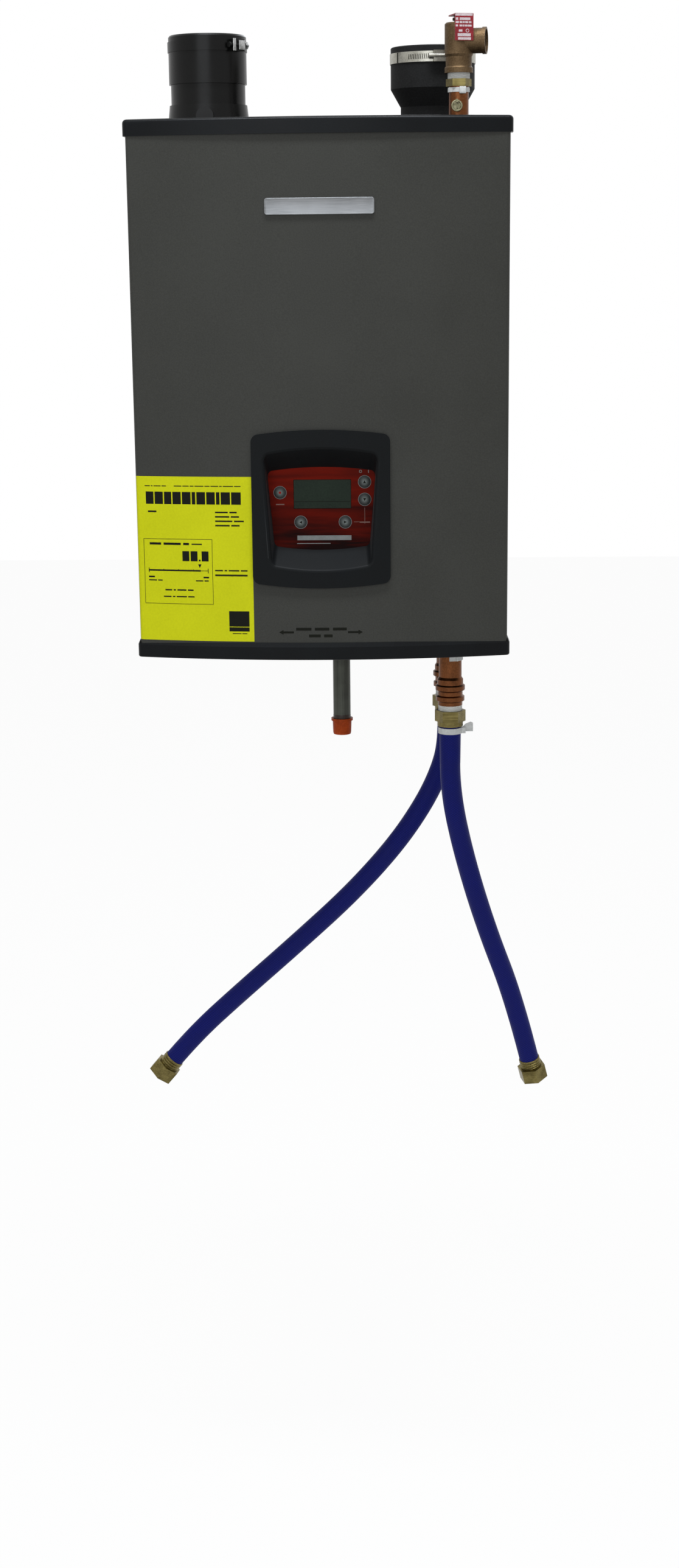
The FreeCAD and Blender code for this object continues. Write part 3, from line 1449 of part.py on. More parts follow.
# Domestic water: a plate heat exchanger on the back panel and its two pipes
STACK_LOW = "(%s + stack_rise)" % PLATE_LOW
stack = new_body("plate_exchanger")
pad(stack, outline(stack, "XY", [
    ("-stack_width / 2", "0"),
    ("-stack_width / 2", "-stack_depth"),
    ("stack_width / 2", "-stack_depth"),
    ("stack_width / 2", "0")]), "stack_height")
doc.recompute()
slots = new_sketch(stack, "XY")
for side in ("-", ""):
    draw(slots, [
        (side + "(stack_width / 2 - 4)", "-stack_pitch / 2"),
        (side + "(stack_width / 2 + 1)", "-stack_pitch / 2"),
        (side + "(stack_width / 2 + 1)", "-stack_pitch / 2 - stack_slot"),
        (side + "(stack_width / 2 - 4)", "-stack_pitch / 2 - stack_slot")])
slot = pocket(stack, slots, "stack_height", upward=True)
plates = stack.newObject("PartDesign::LinearPattern", "Plates")
plates.Originals = [slot]
plates.Direction = (slots, ["V_Axis"])
plates.Reversed = True
plates.setExpression("Length", bind("stack_pitch * (stack_slots - 1)"))
plates.setExpression("Occurrences", bind("stack_slots"))
stack.Tip = plates
put(stack, ("-stack_offset", "-" + PANEL_FACE, STACK_LOW))
keep("plate_exchanger", stack)


def water_pipe(name, side):
    """Turn one straight pipe from the plate exchanger, with a stop bead under the bottom plate."""
    return lathe(
        name, ("-stack_offset %s dhw_pitch / 2" % side, "-%s - stack_depth / 2" % PANEL_FACE,
               PLATE_LOW + " - dhw_below"), [
            (BORE, "0"),
            ("copper_radius", "0"),
            ("copper_radius", "dhw_below - 3.5"),
            ("copper_radius + 2", "dhw_below - 3.5"),
            ("copper_radius + 2", "dhw_below - 0.5"),
            ("copper_radius", "dhw_below - 0.5"),
            ("copper_radius", "stack_rise + dhw_below"),
            (BORE, "stack_rise + dhw_below")])


keep("domestic_pipes", group("domestic_pipes", water_pipe("cold_pipe", "-"), water_pipe("hot_pipe", "+")))

# Joints of the pipes: thread tape, brass nuts, swollen hose cuffs over the barbs, a cable tie
SUPPLY_PORT = ("port_offset", "-supply_back")
RETURN_PORT = ("return_offset", "-return_back")
keep("thread_tape", group(
    "thread_tape",
    rod("tape_relief", ("supply_offset", "-supply_back", RISER_TOP + " + nut_height"),
        "tape_radius", "tape_height"),
    rod("tape_supply", SUPPLY_PORT + (PORT_LOW + " - tape_height",), "hose_tape", "tape_height"),
    rod("tape_return", RETURN_PORT + (PORT_LOW + " - tape_height",), "hose_tape", "tape_height")))


def flare_nut(label, port):
    """Make a hose nut: a hexagon above a round collar."""
    return join(
        label,
        hexagon(label + "_flats", port + (NUT_LOW + " + hose_collar_height",), "hose_nut",
                "hose_nut_height - hose_collar_height"),
        rod(label + "_collar", port + (NUT_LOW,), "hose_collar", "hose_collar_height"))


keep("brass_nuts", group(
    "brass_nuts",
    hexagon("nut_relief", ("supply_offset", "-supply_back", RISER_TOP), "relief_nut", "nut_height"),
    flare_nut("nut_supply", SUPPLY_PORT),
    flare_nut("nut_return", RETURN_PORT)))


def hose_cuff(label, port, length):
    """Make the stretched end of a hose over its barb, which tapers down to the hose."""
    return lathe(label, port + ("%s - %s" % (NUT_LOW, length),), [
        ("0", "0"),
        ("hose_radius + 0.1", "0"),
        ("cuff_radius", length + " * 0.75"),
        ("cuff_radius", length),
        ("0", length)])


keep("hose_cuffs", group(
    "hose_cuffs",
    hose_cuff("cuff_supply", SUPPLY_PORT, "supply_cuff"),
    hose_cuff("cuff_return", RETURN_PORT, "return_cuff")))
tie = new_body("cable_tie")
TIE_INNER = "(cuff_radius + tie_slack)"
TIE_OUTER = "(cuff_radius + tie_slack + tie_gauge)"
turned(tie, [
    (TIE_INNER, "0"), (TIE_OUTER, "0"), (TIE_OUTER, "tie_height"), (TIE_INNER, "tie_height")])
pad(tie, outline(tie, "XY", [
    (TIE_INNER + " + tie_gauge / 2", "-tie_height * 0.6"),
    (TIE_OUTER + " + tie_height * 0.6", "-tie_height * 0.6"),
    (TIE_OUTER + " + tie_height * 0.6", "tie_height * 0.3"),
    (TIE_INNER + " + tie_gauge / 2", "tie_height * 0.3")]), "tie_height")
pad(tie, outline(tie, "XZ", [
    (TIE_OUTER, "tie_height * 0.25"),
    (TIE_OUTER + " + tie_tail", "tie_height * 0.25"),
    (TIE_OUTER + " + tie_tail", "tie_flag"),
    (TIE_OUTER + " + tie_tail * 0.8", "tie_flag + tie_gauge"),
    (TIE_OUTER + " + tie_tail * 0.3", "tie_flag - tie_gauge"),
    (TIE_OUTER, "tie_height * 0.9")]), "tie_gauge")
put(tie, SUPPLY_PORT + (NUT_LOW + " - tie_gap - tie_height",))
keep("cable_tie", tie)


def hose(label, start, route):
    """Sweep a hose along straight runs joined by the largest arcs that fit.

    The route's points are relative to the start. Returns the end and its direction.
    """
    radius = value("hose_radius")
    points = [Vector(0, 0, 0)] + route
    edges = []
    here = points[0]
    for before, corner, after in zip(points, points[1:], points[2:]):
        inward = (corner - before).normalize()
        outward = (after - corner).normalize()
        turn = inward.getAngle(outward)
        reach = 0.45 * min((corner - before).Length, (after - corner).Length)
        print("%s: bend radius %.0f" % (label, reach / math.tan(turn / 2)))
        entry = corner - inward * reach
        leave = corner + outward * reach
        centre = corner + (outward - inward).normalize() * (reach / math.sin(turn / 2))
        crest = centre + (corner - centre).normalize() * (reach / math.tan(turn / 2))
        edges.append(Part.LineSegment(here, entry).toShape())
        edges.append(Part.Arc(entry, crest, leave).toShape())
        here = leave
    edges.append(Part.LineSegment(here, points[-1]).toShape())
    path = Part.Wire(edges)
    first = (points[1] - points[0]).normalize()
    last = (points[-1] - points[-2]).normalize()
    section = Part.Wire(Part.makeCircle(radius, points[0], first))
    solid = path.makePipeShell([section], True, True)
    expected = math.pi * radius * radius * path.Length
    assert abs(solid.Volume / expected - 1) < 0.01, label + ": the sweep lost volume"
    print("%s: length %.1f" % (label, path.Length))
    piece = doc.addObject("Part::Feature", label)
    piece.Shape = solid
    piece.Placement = Placement(start, Rotation())
    keep(label, piece)
    return start + points[-1], last


def spot(port, level):
    """Return a port's point at a level."""
    return Vector(value(port[0]), value(port[1]), value(level))


supply_end, supply_way = hose("hose_supply", spot(SUPPLY_PORT, NUT_LOW + " - supply_cuff"), [
    Vector(0, 0, -34),
    Vector(17, 24, -120),
    Vector(46, 50, -222),
    Vector(82, 74, -322),
    Vector(103, 90, -408)])
return_end, return_way = hose("hose_return", spot(RETURN_PORT, NUT_LOW + " - return_cuff"), [
    Vector(0, 0, -31),
    Vector(-8.7, 1, -66),
    Vector(-29, 2, -109.5),
    Vector(-65, 4, -164),
    Vector(-121, 6, -228),
    Vector(-194, 9, -297),
    Vector(-264, 12, -361),
    Vector(-322, 15, -416),
    Vector(-352, 17, -452)])


def hose_end(name, where, way):
    """Turn a brass end coupling that continues a hose."""
    body = new_body(name)
    turned(body, [
        ("0", "0"),
        ("coupling_radius", "0"),
        ("coupling_radius", "coupling_length * 0.4"),
        ("coupling_hex", "coupling_length * 0.45"),
        ("coupling_hex", "coupling_length"),
        ("coupling_bore", "coupling_length"),
        ("coupling_bore", "coupling_length * 0.4"),
        ("0", "coupling_length * 0.4")])
    body.Placement = Placement(where, Rotation(Vector(0, 0, 1), way))
    return body


keep("hose_ends", group(
    "hose_ends", hose_end("end_supply", supply_end, supply_way),
    hose_end("end_return", return_end, return_way)))

doc.recompute()
for item in doc.Objects:
    assert not {"Invalid", "Error"} & set(item.State), item.Name + " failed to build"
for label, piece in nodes.items():
    assert not piece.Shape.isNull() and piece.Shape.isValid(), label + " has no valid shape"
os.makedirs("parts", exist_ok=True)
for label, piece in nodes.items():
    piece.Shape.exportStep("parts/%s.step" % label)
print("%d sub-parts" % len(nodes))
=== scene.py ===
"""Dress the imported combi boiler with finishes, prints, fixings, hoses, light and a camera."""

import logging
import math
from dataclasses import dataclass
from enum import Enum
from typing import Any, ClassVar, Sequence

import bmesh
import bpy
from bmesh.types import BMesh, BMVert
from bpy.types import Material, Node, NodeSocket, NodeTree, Object
from mathutils import Matrix, Vector


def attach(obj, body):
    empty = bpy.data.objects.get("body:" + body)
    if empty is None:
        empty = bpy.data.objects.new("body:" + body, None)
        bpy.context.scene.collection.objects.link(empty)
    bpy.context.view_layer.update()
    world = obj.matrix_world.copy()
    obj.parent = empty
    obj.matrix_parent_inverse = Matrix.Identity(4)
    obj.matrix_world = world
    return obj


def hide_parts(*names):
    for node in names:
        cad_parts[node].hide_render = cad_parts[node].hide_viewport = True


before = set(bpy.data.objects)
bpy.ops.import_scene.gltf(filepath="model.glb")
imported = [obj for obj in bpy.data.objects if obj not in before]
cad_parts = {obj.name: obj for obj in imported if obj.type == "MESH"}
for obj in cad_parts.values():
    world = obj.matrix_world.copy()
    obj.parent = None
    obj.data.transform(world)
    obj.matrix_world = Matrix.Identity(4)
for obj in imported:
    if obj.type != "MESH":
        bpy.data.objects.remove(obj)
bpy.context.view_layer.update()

Pair = tuple[float, float]
Triple = tuple[float, float, float]
Quad = tuple[float, float, float, float]

LOG = logging.getLogger("boiler")
MM = 0.001
# How far a print stands off its surface
INK = 0.00006
# Faces that meet at more than this keep a hard edge
HARD_EDGE = math.radians(35)
# The length of one wave, and the height of one row of bricks, in a texture with a scale of 1
WAVE_LENGTH = 0.314
BRICK_ROW = 0.25


class Body(str, Enum):
    """The moving bodies that a piece can ride on."""

    CABINET = "cabinet"
    COVER = "cover"
    RESET = "reset_key"
    BACK = "back_key"
    NEXT = "next_key"
    UP = "up_key"
    DOWN = "down_key"
    LEVER = "test_lever"


class Run(Enum):
    """The axis along which a drawn or brushed metal's streaks run."""

    ACROSS = 0
    UPRIGHT = 2


def linear(colour: str) -> Quad:
    """Turn an sRGB hex colour into linear RGBA.

    Args:
        colour: Six hex digits after a hash sign.

    Returns:
        Red, green, blue and an alpha of 1.
    """
    parts = [int(colour[i : i + 2], 16) / 255 for i in (1, 3, 5)]
    red, green, blue = (c / 12.92 if c <= 0.04045 else ((c + 0.055) / 1.055) ** 2.4 for c in parts)
    return red, green, blue, 1.0


def turn(axis: str, degrees: float) -> Matrix:
    """Return a turn about one axis."""
    return Matrix.Rotation(math.radians(degrees), 3, axis)


def add_node(
    tree: NodeTree, kind: str, inputs: dict[Any, Any] | None = None, **settings: Any
) -> Node:
    """Add a node with its settings, numbers and links.

    Args:
        tree: The node tree that gets the node.
        kind: The node's type name.
        inputs: Sockets by name or index, each with a number, a colour or a socket to link from.
        settings: The node's own properties.

    Returns:
        The new node.
    """
    node = tree.nodes.new(kind)
    for name, setting in settings.items():
        setattr(node, name, setting)
    for key, given in (inputs or {}).items():
        if isinstance(given, NodeSocket):
            tree.links.new(given, node.inputs[key])
        else:
            node.inputs[key].default_value = given
    return node


def seen_directly(tree: NodeTree) -> NodeSocket:
    """Tell the rays that show a backdrop from the rays that carry its light.

    Args:
        tree: The node tree that asks.

    Returns:
        1 for a camera, mirror or glass ray, and 0 otherwise.
    """
    path = add_node(tree, "ShaderNodeLightPath")
    seen = path.outputs["Is Camera Ray"]
    for ray in ("Is Glossy Ray", "Is Transmission Ray"):
        both = {0: seen, 1: path.outputs[ray]}
        seen = add_node(tree, "ShaderNodeMath", both, operation="MAXIMUM").outputs[0]
    return seen


class Wiring:
    """The node tree of one material, with the nodes that the finishes share."""

    def __init__(self, finish: "Finish", tree: NodeTree) -> None:
        """Start a tree with the finish's shader and the place on the object.

        Args:
            finish: The finish.
            tree: The material's empty tree.
        """
        self.finish, self.tree = finish, tree
        self.shader = add_node(
            tree,
            "ShaderNodeBsdfPrincipled",
            {
                "Metallic": finish.metallic,
                "Specular IOR Level": finish.specular,
                "Sheen Weight": finish.bloom,
                "Roughness": finish.roughness,
                "Base Color": linear(finish.colour),
            },
        )
        self.place = add_node(tree, "ShaderNodeTexCoord").outputs["Object"]

    def add(self, kind: str, inputs: dict[Any, Any] | None = None, **settings: Any) -> Node:
        """Add a node to this tree."""
        return add_node(self.tree, kind, inputs, **settings)

    def mapped(self, **inputs: Sequence[float]) -> NodeSocket:
        """Return the place on the object, moved, turned or scaled."""
        given = {"Vector": self.place, **inputs}
        return self.add("ShaderNodeMapping", given).outputs[0]

    def noise(self, size_mm: float, detail: float = 2.0) -> NodeSocket:
        """Return a noise with grains of one size."""
        inputs = {"Vector": self.place, "Scale": 1 / (size_mm * MM), "Detail": detail}
        return self.add("ShaderNodeTexNoise", inputs).outputs[0]

    def streaks(self, scale: Sequence[float], bend: float = 0.0) -> NodeSocket:
        """Return a noise stretched by a scale for each axis."""
        size = {"Vector": self.mapped(Scale=scale), "Scale": 1.0, "Detail": 3.0, "Distortion": bend}
        return self.add("ShaderNodeTexNoise", size).outputs[0]

    def bands(self, place: NodeSocket, size_mm: float, bend: dict[str, float]) -> NodeSocket:
        """Return level bands of one spacing."""
        inputs = {"Vector": place, "Scale": WAVE_LENGTH / (size_mm * MM), **bend}
        return self.add("ShaderNodeTexWave", inputs, bands_direction="Z").outputs["Fac"]

    def joined(self, how: str, one: NodeSocket, two: Any, clamp: bool = False) -> NodeSocket:
        """Return two values added or multiplied."""
        settings = {"operation": how, "use_clamp": clamp}
        return self.add("ShaderNodeMath", {0: one, 1: two}, **settings).outputs[0]

    def remap(
        self, value: NodeSocket, low: float, high: float, to_low: float = 0.0, to_high: float = 1.0
    ) -> NodeSocket:
        """Return a value spread from one range over another."""
        inputs = {0: value, 1: low, 2: high, 3: to_low, 4: to_high}
        return self.add("ShaderNodeMapRange", inputs).outputs[0]

    def drive(self, name: str, socket: NodeSocket) -> None:
        """Link a value to one of the shader's inputs."""
        self.tree.links.new(socket, self.shader.inputs[name])

    def tint(self, amount: NodeSocket) -> None:
        """Blend from the finish's shade to its colour by amount."""
        ends = {0: amount, 6: linear(self.finish.shade), 7: linear(self.finish.colour)}
        self.drive("Base Color", self.add("ShaderNodeMix", ends, data_type="RGBA").outputs[2])

    def vary_roughness(self, amount: NodeSocket, swing: float) -> None:
        """Let roughness follow amount by so much either way."""
        middle = self.finish.roughness
        self.drive("Roughness", self.remap(amount, 0.3, 0.7, middle - swing, middle + swing))

    def relief(self, height: NodeSocket, depth_mm: float, strength: float = 1.0) -> None:
        """Bump the surface by height, up to depth_mm."""
        inputs = {"Height": height, "Distance": depth_mm * MM, "Strength": strength}
        self.drive("Normal", self.add("ShaderNodeBump", inputs).outputs[0])


@dataclass(frozen=True)
class Finish:
    """A procedural material, named for what the real surface is.

    Attributes:
        name: The material's common name and how it was made.
        colour: The lighter of its colours.
        shade: The darker of its colours.
        roughness: The middle of its roughness.
        metallic: 1 for bare metal.
        specular: How strongly a plastic or paint mirrors.
        bloom: A haze that lightens it where it is seen at a glancing angle.
    """

    name: str
    colour: str
    shade: str
    roughness: float
    metallic: float = 0.0
    specular: float = 0.5
    bloom: float = 0.0

    def material(self) -> Material:
        """Return the material, made on its first use.

        Returns:
            The material with this finish's nodes.
        """
        made = bpy.data.materials.get(self.name)
        if made is None:
            made = bpy.data.materials.new(self.name)
            made.use_nodes = True
            made.node_tree.nodes.clear()
            wiring = Wiring(self, made.node_tree)
            wiring.add("ShaderNodeOutputMaterial", {"Surface": self.surface(wiring)})
            self.pattern(wiring)
        return made

    def surface(self, wiring: Wiring) -> NodeSocket:
        """Return what the eye sees, which is the shader alone."""
        return wiring.shader.outputs[0]

    def pattern(self, wiring: Wiring) -> None:
        """Wire the pattern; a plain finish has none."""


@dataclass(frozen=True)
class Grained(Finish):
    """A stippled surface: powder coat, moulded plastic, rubber, cast or drawn metal.

    Attributes:
        grain_mm: The size of one grain.
        relief_mm: How deep the grain is.
        cloud_mm: The size of the broad patches in which gloss and tone differ.
    """

    grain_mm: float = 1.0
    relief_mm: float = 0.05
    cloud_mm: float = 60.0

    def pattern(self, wiring: Wiring) -> None:
        """Wire fine grain into tone and bump and broad clouds into gloss.

        Args:
            wiring: The material's nodes.
        """
        grain, cloud = wiring.noise(self.grain_mm), wiring.noise(self.cloud_mm)
        wiring.tint(wiring.remap(wiring.joined("ADD", grain, cloud), 0.7, 1.3))
        wiring.vary_roughness(cloud, 0.05)
        wiring.relief(grain, self.relief_mm)


@dataclass(frozen=True)
class Ink(Grained):
    """Matte screen ink, with hardly any relief."""

    roughness: float = 0.5
    specular: float = 0.15
    relief_mm: float = 0.01
    cloud_mm: float = 10.0


@dataclass(frozen=True)
class Backdrop(Grained):
    """Paper that shows almost white and still takes a shadow.

    Attributes:
        white: How far towards pure white it shows.
    """

    white: float = 0.95

    def surface(self, wiring: Wiring) -> NodeSocket:
        """Mix white light into what is seen directly.

        Args:
            wiring: The material's nodes.

        Returns:
            The mixed surface.
        """
        white = {"Color": linear("#FFFFFF"), "Strength": 1.0}
        glow = wiring.add("ShaderNodeEmission", white).outputs[0]
        share = wiring.joined("MULTIPLY", seen_directly(wiring.tree), self.white)
        mix = {0: share, 1: wiring.shader.outputs[0], 2: glow}
        return wiring.add("ShaderNodeMixShader", mix).outputs[0]


@dataclass(frozen=True)
class Streaked(Finish):
    """Pipe, machined bar or brushed sheet: long fine streaks one way, with tarnish in patches.

    Attributes:
        run: The way that the streaks run.
        streak_mm: The width of one streak.
        length_mm: The length of one streak.
        patch_mm: The size of a patch of tarnish.
    """

    run: Run = Run.UPRIGHT
    streak_mm: float = 2.0
    length_mm: float = 60.0
    patch_mm: float = 30.0

    def pattern(self, wiring: Wiring) -> None:
        """Wire stretched noise into tone, gloss and a slight bump.

        Args:
            wiring: The material's nodes.
        """
        scale = [1 / (self.streak_mm * MM)] * 3
        scale[self.run.value] = 1 / (self.length_mm * MM)
        streak = wiring.streaks(scale)
        both = wiring.joined("ADD", streak, wiring.noise(self.patch_mm, 4.0))
        wiring.tint(wiring.remap(both, 0.75, 1.25))
        wiring.vary_roughness(streak, 0.08)
        wiring.relief(streak, 0.04, 0.5)


@dataclass(frozen=True)
class Wound(Finish):
    """Thread tape wound on in turns, each edge a faint ridge.

    Attributes:
        turn_mm: The height of one turn.
    """

    turn_mm: float = 1.6

    def pattern(self, wiring: Wiring) -> None:
        """Wire uneven bands up the pipe into tone and bump.

        Args:
            wiring: The material's nodes.
        """
        uneven = {"Distortion": 2.5, "Detail": 2.0, "Detail Scale": 1.5}
        turns = wiring.bands(wiring.place, self.turn_mm, uneven)
        wiring.tint(turns)
        wiring.relief(turns, 0.25)


@dataclass(frozen=True)
class Woven(Finish):
    """Rubber hose on a textile braid that shows through as crossing diagonals.

    Attributes:
        thread_mm: The spacing of the braid's threads.
        slant: How far the threads lean from level, in degrees.
        dust_mm: The size of a patch of dust.
    """

    thread_mm: float = 2.4
    slant: float = 40.0
    dust_mm: float = 25.0

    def pattern(self, wiring: Wiring) -> None:
        """Wire two leaning sets of bands into tone and bump.

        Args:
            wiring: The material's nodes.
        """
        leans = [(0.0, math.radians(lean), 0.0) for lean in (-self.slant, self.slant)]
        places = [wiring.mapped(Rotation=lean) for lean in leans]
        threads = [wiring.bands(place, self.thread_mm, {"Distortion": 0.4}) for place in places]
        cross = wiring.joined("MULTIPLY", *threads)
        dust = wiring.noise(self.dust_mm, 4.0)
        wiring.tint(wiring.joined("MULTIPLY", cross, dust))
        wiring.vary_roughness(dust, 0.08)
        wiring.relief(cross, 0.12, 0.6)


@dataclass(frozen=True)
class GradedFilm(Finish):
    """A printed overlay that is darker towards the bottom, with level brushed streaks in its ink.

    Attributes:
        top: The height at which the light colour is full.
        bottom: The height at which the dark colour is full.
        streak_mm: The height of one streak.
        length_mm: The length of one streak.
    """

    top: float = 0.0
    bottom: float = -0.1
    streak_mm: float = 9.0
    length_mm: float = 90.0

    def pattern(self, wiring: Wiring) -> None:
        """Wire height and streaks into tone.

        Args:
            wiring: The material's nodes.
        """
        scale = (1 / (self.length_mm * MM), 1.0, 1 / (self.streak_mm * MM))
        streak = wiring.streaks(scale, 0.3)
        height = wiring.add("ShaderNodeSeparateXYZ", {0: wiring.place}).outputs["Z"]
        fade = wiring.remap(height, self.bottom, self.top, -0.5, 0.4)
        ink = wiring.remap(streak, 0.3, 0.7, 0.2, 0.8)
        wiring.tint(wiring.joined("ADD", fade, ink, clamp=True))
        wiring.vary_roughness(streak, 0.06)


@dataclass(frozen=True)
class PaintedLightKeyCap(Finish):
    """A metallised key, with a painted highlight at its crown and painted shade at its edge that
    stand in for the dome's reflection.

    Attributes:
        across: The key's centre from the middle of the boiler.
        height: The key's centre above the datum.
        radius: Where the painted shade at the edge is full.
        sparkle_mm: The size of one fleck.
    """

    specular: float = 0.2
    across: float = 0.0
    height: float = 0.0
    radius: float = 0.0067
    sparkle_mm: float = 0.8

    def pattern(self, wiring: Wiring) -> None:
        """Wire the distance from the key's centre into tone, as a painted highlight and painted
        shade, with a fine sparkle.

        Args:
            wiring: The material's nodes.
        """
        size = 1 / self.radius
        centre = (-self.across * size, 0.0, -self.height * size)
        place = wiring.mapped(Scale=(size, 0.0, size), Location=centre)
        kind = {"gradient_type": "QUADRATIC_SPHERE"}
        # The light crown and dark edge are painted: a highlight at the top of the dome and shade at
        # its rim
        crown = wiring.add("ShaderNodeTexGradient", {0: place}, **kind).outputs["Fac"]
        sparkle = wiring.noise(self.sparkle_mm)
        grain = wiring.remap(sparkle, 0.0, 1.0, -0.1, 0.1)
        wiring.tint(wiring.joined("ADD", crown, grain, clamp=True))
        wiring.vary_roughness(sparkle, 0.05)


@dataclass(frozen=True)
class Spangled(Finish):
    """Hot-dip zinc: crystals a centimetre across, each a little lighter or darker.

    Attributes:
        crystal_mm: The size of one crystal.
    """

    crystal_mm: float = 11.0

    def pattern(self, wiring: Wiring) -> None:
        """Wire the crystals into tone and gloss.

        Args:
            wiring: The material's nodes.
        """
        inputs = {"Vector": wiring.place, "Scale": 1 / (self.crystal_mm * MM), "Randomness": 1.0}
        cells = wiring.add("ShaderNodeTexVoronoi", inputs)
        tone = wiring.add("ShaderNodeSeparateColor", {0: cells.outputs["Color"]})
        wiring.tint(tone.outputs[0])
        wiring.vary_roughness(tone.outputs[1], 0.08)


@dataclass(frozen=True)
class Board(Finish):
    """A circuit board: solder mask over a grid of fine tracks.

    Attributes:
        pitch_mm: The spacing of its tracks.
    """

    pitch_mm: float = 5.0

    def pattern(self, wiring: Wiring) -> None:
        """Wire a grid of tracks into tone and bump.

        Args:
            wiring: The material's nodes.
        """
        place = wiring.mapped(Rotation=(math.pi / 2, 0.0, 0.0))
        inputs = {"Vector": place, "Scale": BRICK_ROW / (self.pitch_mm * MM)}
        inputs |= {"Mortar Size": 0.03, "Mortar Smooth": 0.2}
        tracks = wiring.add("ShaderNodeTexBrick", inputs).outputs["Fac"]
        wiring.tint(tracks)
        wiring.relief(tracks, 0.1, 0.5)


# Powder-coated steel: a dull graphite skin with a fine orange-peel stipple. A real stipple is about
# half a millimetre, which is drawn coarser to show.
COVER_PAINT = Grained(
    "powder_coated_steel_graphite", "#393935", "#30302C", 0.55, specular=0.22,
    grain_mm=1.6, relief_mm=0.05, cloud_mm=90,
)
CHASSIS_PAINT = Grained(
    "powder_coated_steel_slate", "#353634", "#2B2C2A", 0.6, specular=0.22,
    grain_mm=1.6, relief_mm=0.05, cloud_mm=70,
)
# Moulded ABS: near black with a cool cast and a spark-eroded texture that scatters the light from
# above. The bezel has a faint bloom on the walls that are seen at a glancing angle.
TRIM_ABS = Grained(
    "moulded_abs_black", "#0E1113", "#0A0B0D", 0.34, specular=0.11,
    grain_mm=1.4, relief_mm=0.03, cloud_mm=50,
)
BEZEL_ABS = Grained(
    "moulded_abs_deep_black", "#0D1012", "#090B0C", 0.5, specular=0.1, bloom=0.02,
    grain_mm=1.2, relief_mm=0.04, cloud_mm=40,
)
# Moulded nylon: a softer black than the trim, for the housings inside.
HOUSING_NYLON = Grained(
    "moulded_nylon_black", "#1B1C1D", "#111213", 0.5, specular=0.2,
    grain_mm=1.2, relief_mm=0.05, cloud_mm=30,
)
# Polypropylene vent: smoother and glossier, so it takes upright highlights.
VENT_PP = Grained(
    "moulded_polypropylene_black", "#0C0C0B", "#080808", 0.27, specular=0.16,
    grain_mm=3.0, relief_mm=0.02, cloud_mm=40,
)
# Moulded EPDM: matte, with a dusty bloom.
BOOT_EPDM = Grained(
    "moulded_epdm_rubber", "#212121", "#141414", 0.75, specular=0.15,
    grain_mm=1.8, relief_mm=0.12, cloud_mm=25,
)
# Hot-dip zinc: grey crystals that catch the light one by one.
ZINC = Spangled("hot_dip_zinc_steel", "#B9BCBE", "#8E9295", 0.42, metallic=1.0)
# Rolled stainless: a pale, slightly warm strip with an even sheen.
STAINLESS = Grained(
    "rolled_stainless_steel", "#B4B2A8", "#8E8C82", 0.36, metallic=1.0,
    grain_mm=1.4, relief_mm=0.006, cloud_mm=12,
)
# Drawn copper: red brown, dulled unevenly by handling and heat.
COPPER = Grained(
    "drawn_copper_tube", "#714529", "#543420", 0.36, metallic=1.0,
    grain_mm=1.6, relief_mm=0.03, cloud_mm=16,
)
# Steel pipe under mill scale: grey green, with streaks along its length.
IRON = Streaked(
    "mill_scaled_steel_pipe", "#4D4F47", "#2F302B", 0.5, metallic=0.6,
    streak_mm=1.8, length_mm=90, patch_mm=35,
)
# Machined brass: olive yellow, with the tool's marks round it.
BRASS = Streaked(
    "machined_brass", "#7D7247", "#534A2B", 0.32, metallic=1.0, run=Run.ACROSS,
    streak_mm=0.9, length_mm=30, patch_mm=12,
)
# Sand-cast bronze: brown, pitted and unevenly tarnished.
BRONZE = Grained(
    "sand_cast_bronze", "#69563F", "#4D3D2B", 0.55, metallic=1.0,
    grain_mm=1.6, relief_mm=0.25, cloud_mm=14,
)
# Cast aluminium: pale grey with a sandy skin.
ALLOY = Grained(
    "pressure_cast_aluminium", "#B4B5B4", "#8B8C8B", 0.5, metallic=1.0,
    grain_mm=1.6, relief_mm=0.12, cloud_mm=30,
)
# Brass wire dulled by water: greenish grey.
DULL_BRASS = Grained(
    "tarnished_brass_wire", "#8E8A70", "#57543F", 0.4, metallic=1.0,
    grain_mm=1.2, relief_mm=0.05, cloud_mm=5,
)
# Thread compound: a dark brown smear, still a little wet.
DOPE = Grained(
    "brushed_thread_compound", "#3A2417", "#20140D", 0.35, specular=0.3,
    grain_mm=1.0, relief_mm=0.15, cloud_mm=6,
)
# PTFE tape: chalk white turns with soft grey between them.
TAPE = Wound("wound_ptfe_tape", "#F2F1EC", "#BDBCB6", 0.6, specular=0.3)
# Nylon 6.6: milky white, with a soft shine.
NYLON = Grained(
    "moulded_nylon_white", "#DBDBD8", "#C4C4C1", 0.42, specular=0.4,
    grain_mm=2.5, relief_mm=0.02, cloud_mm=10,
)
# Polyethylene cap: waxy burnt orange.
CAP_PE = Grained(
    "moulded_polyethylene_orange", "#B54719", "#973A10", 0.45, specular=0.1,
    grain_mm=2.0, relief_mm=0.04, cloud_mm=12,
)
# Braided EPDM hose: deep blue with its threads showing faintly through the skin.
HOSE = Woven("braided_epdm_hose_blue", "#1B248A", "#10165D", 0.55, specular=0.1)
# Enamelled steel lever plate: a clear red with a low shine.
LEVER_RED = Grained(
    "enamelled_steel_red", "#93202A", "#76161F", 0.4, specular=0.35,
    grain_mm=2.0, relief_mm=0.04, cloud_mm=10,
)
# Back-printed polyester: dark red ink, darker towards the bottom to almost black, under a satin
# skin.
FILM = GradedFilm(
    "printed_polyester_red", "#7A190B", "#150504", 0.42, specular=0.04, top=-0.313, bottom=-0.425
)
# Display glass over an unlit liquid crystal: dull grey-green.
DISPLAY = Grained(
    "liquid_crystal_glass", "#29342A", "#222C24", 0.3, specular=0.08,
    grain_mm=2.0, relief_mm=0.005, cloud_mm=30,
)
# Glass-epoxy board: green mask over a grid of tracks.
BOARD = Board("glass_epoxy_board", "#2C6B3A", "#123F20", 0.45, specular=0.4)
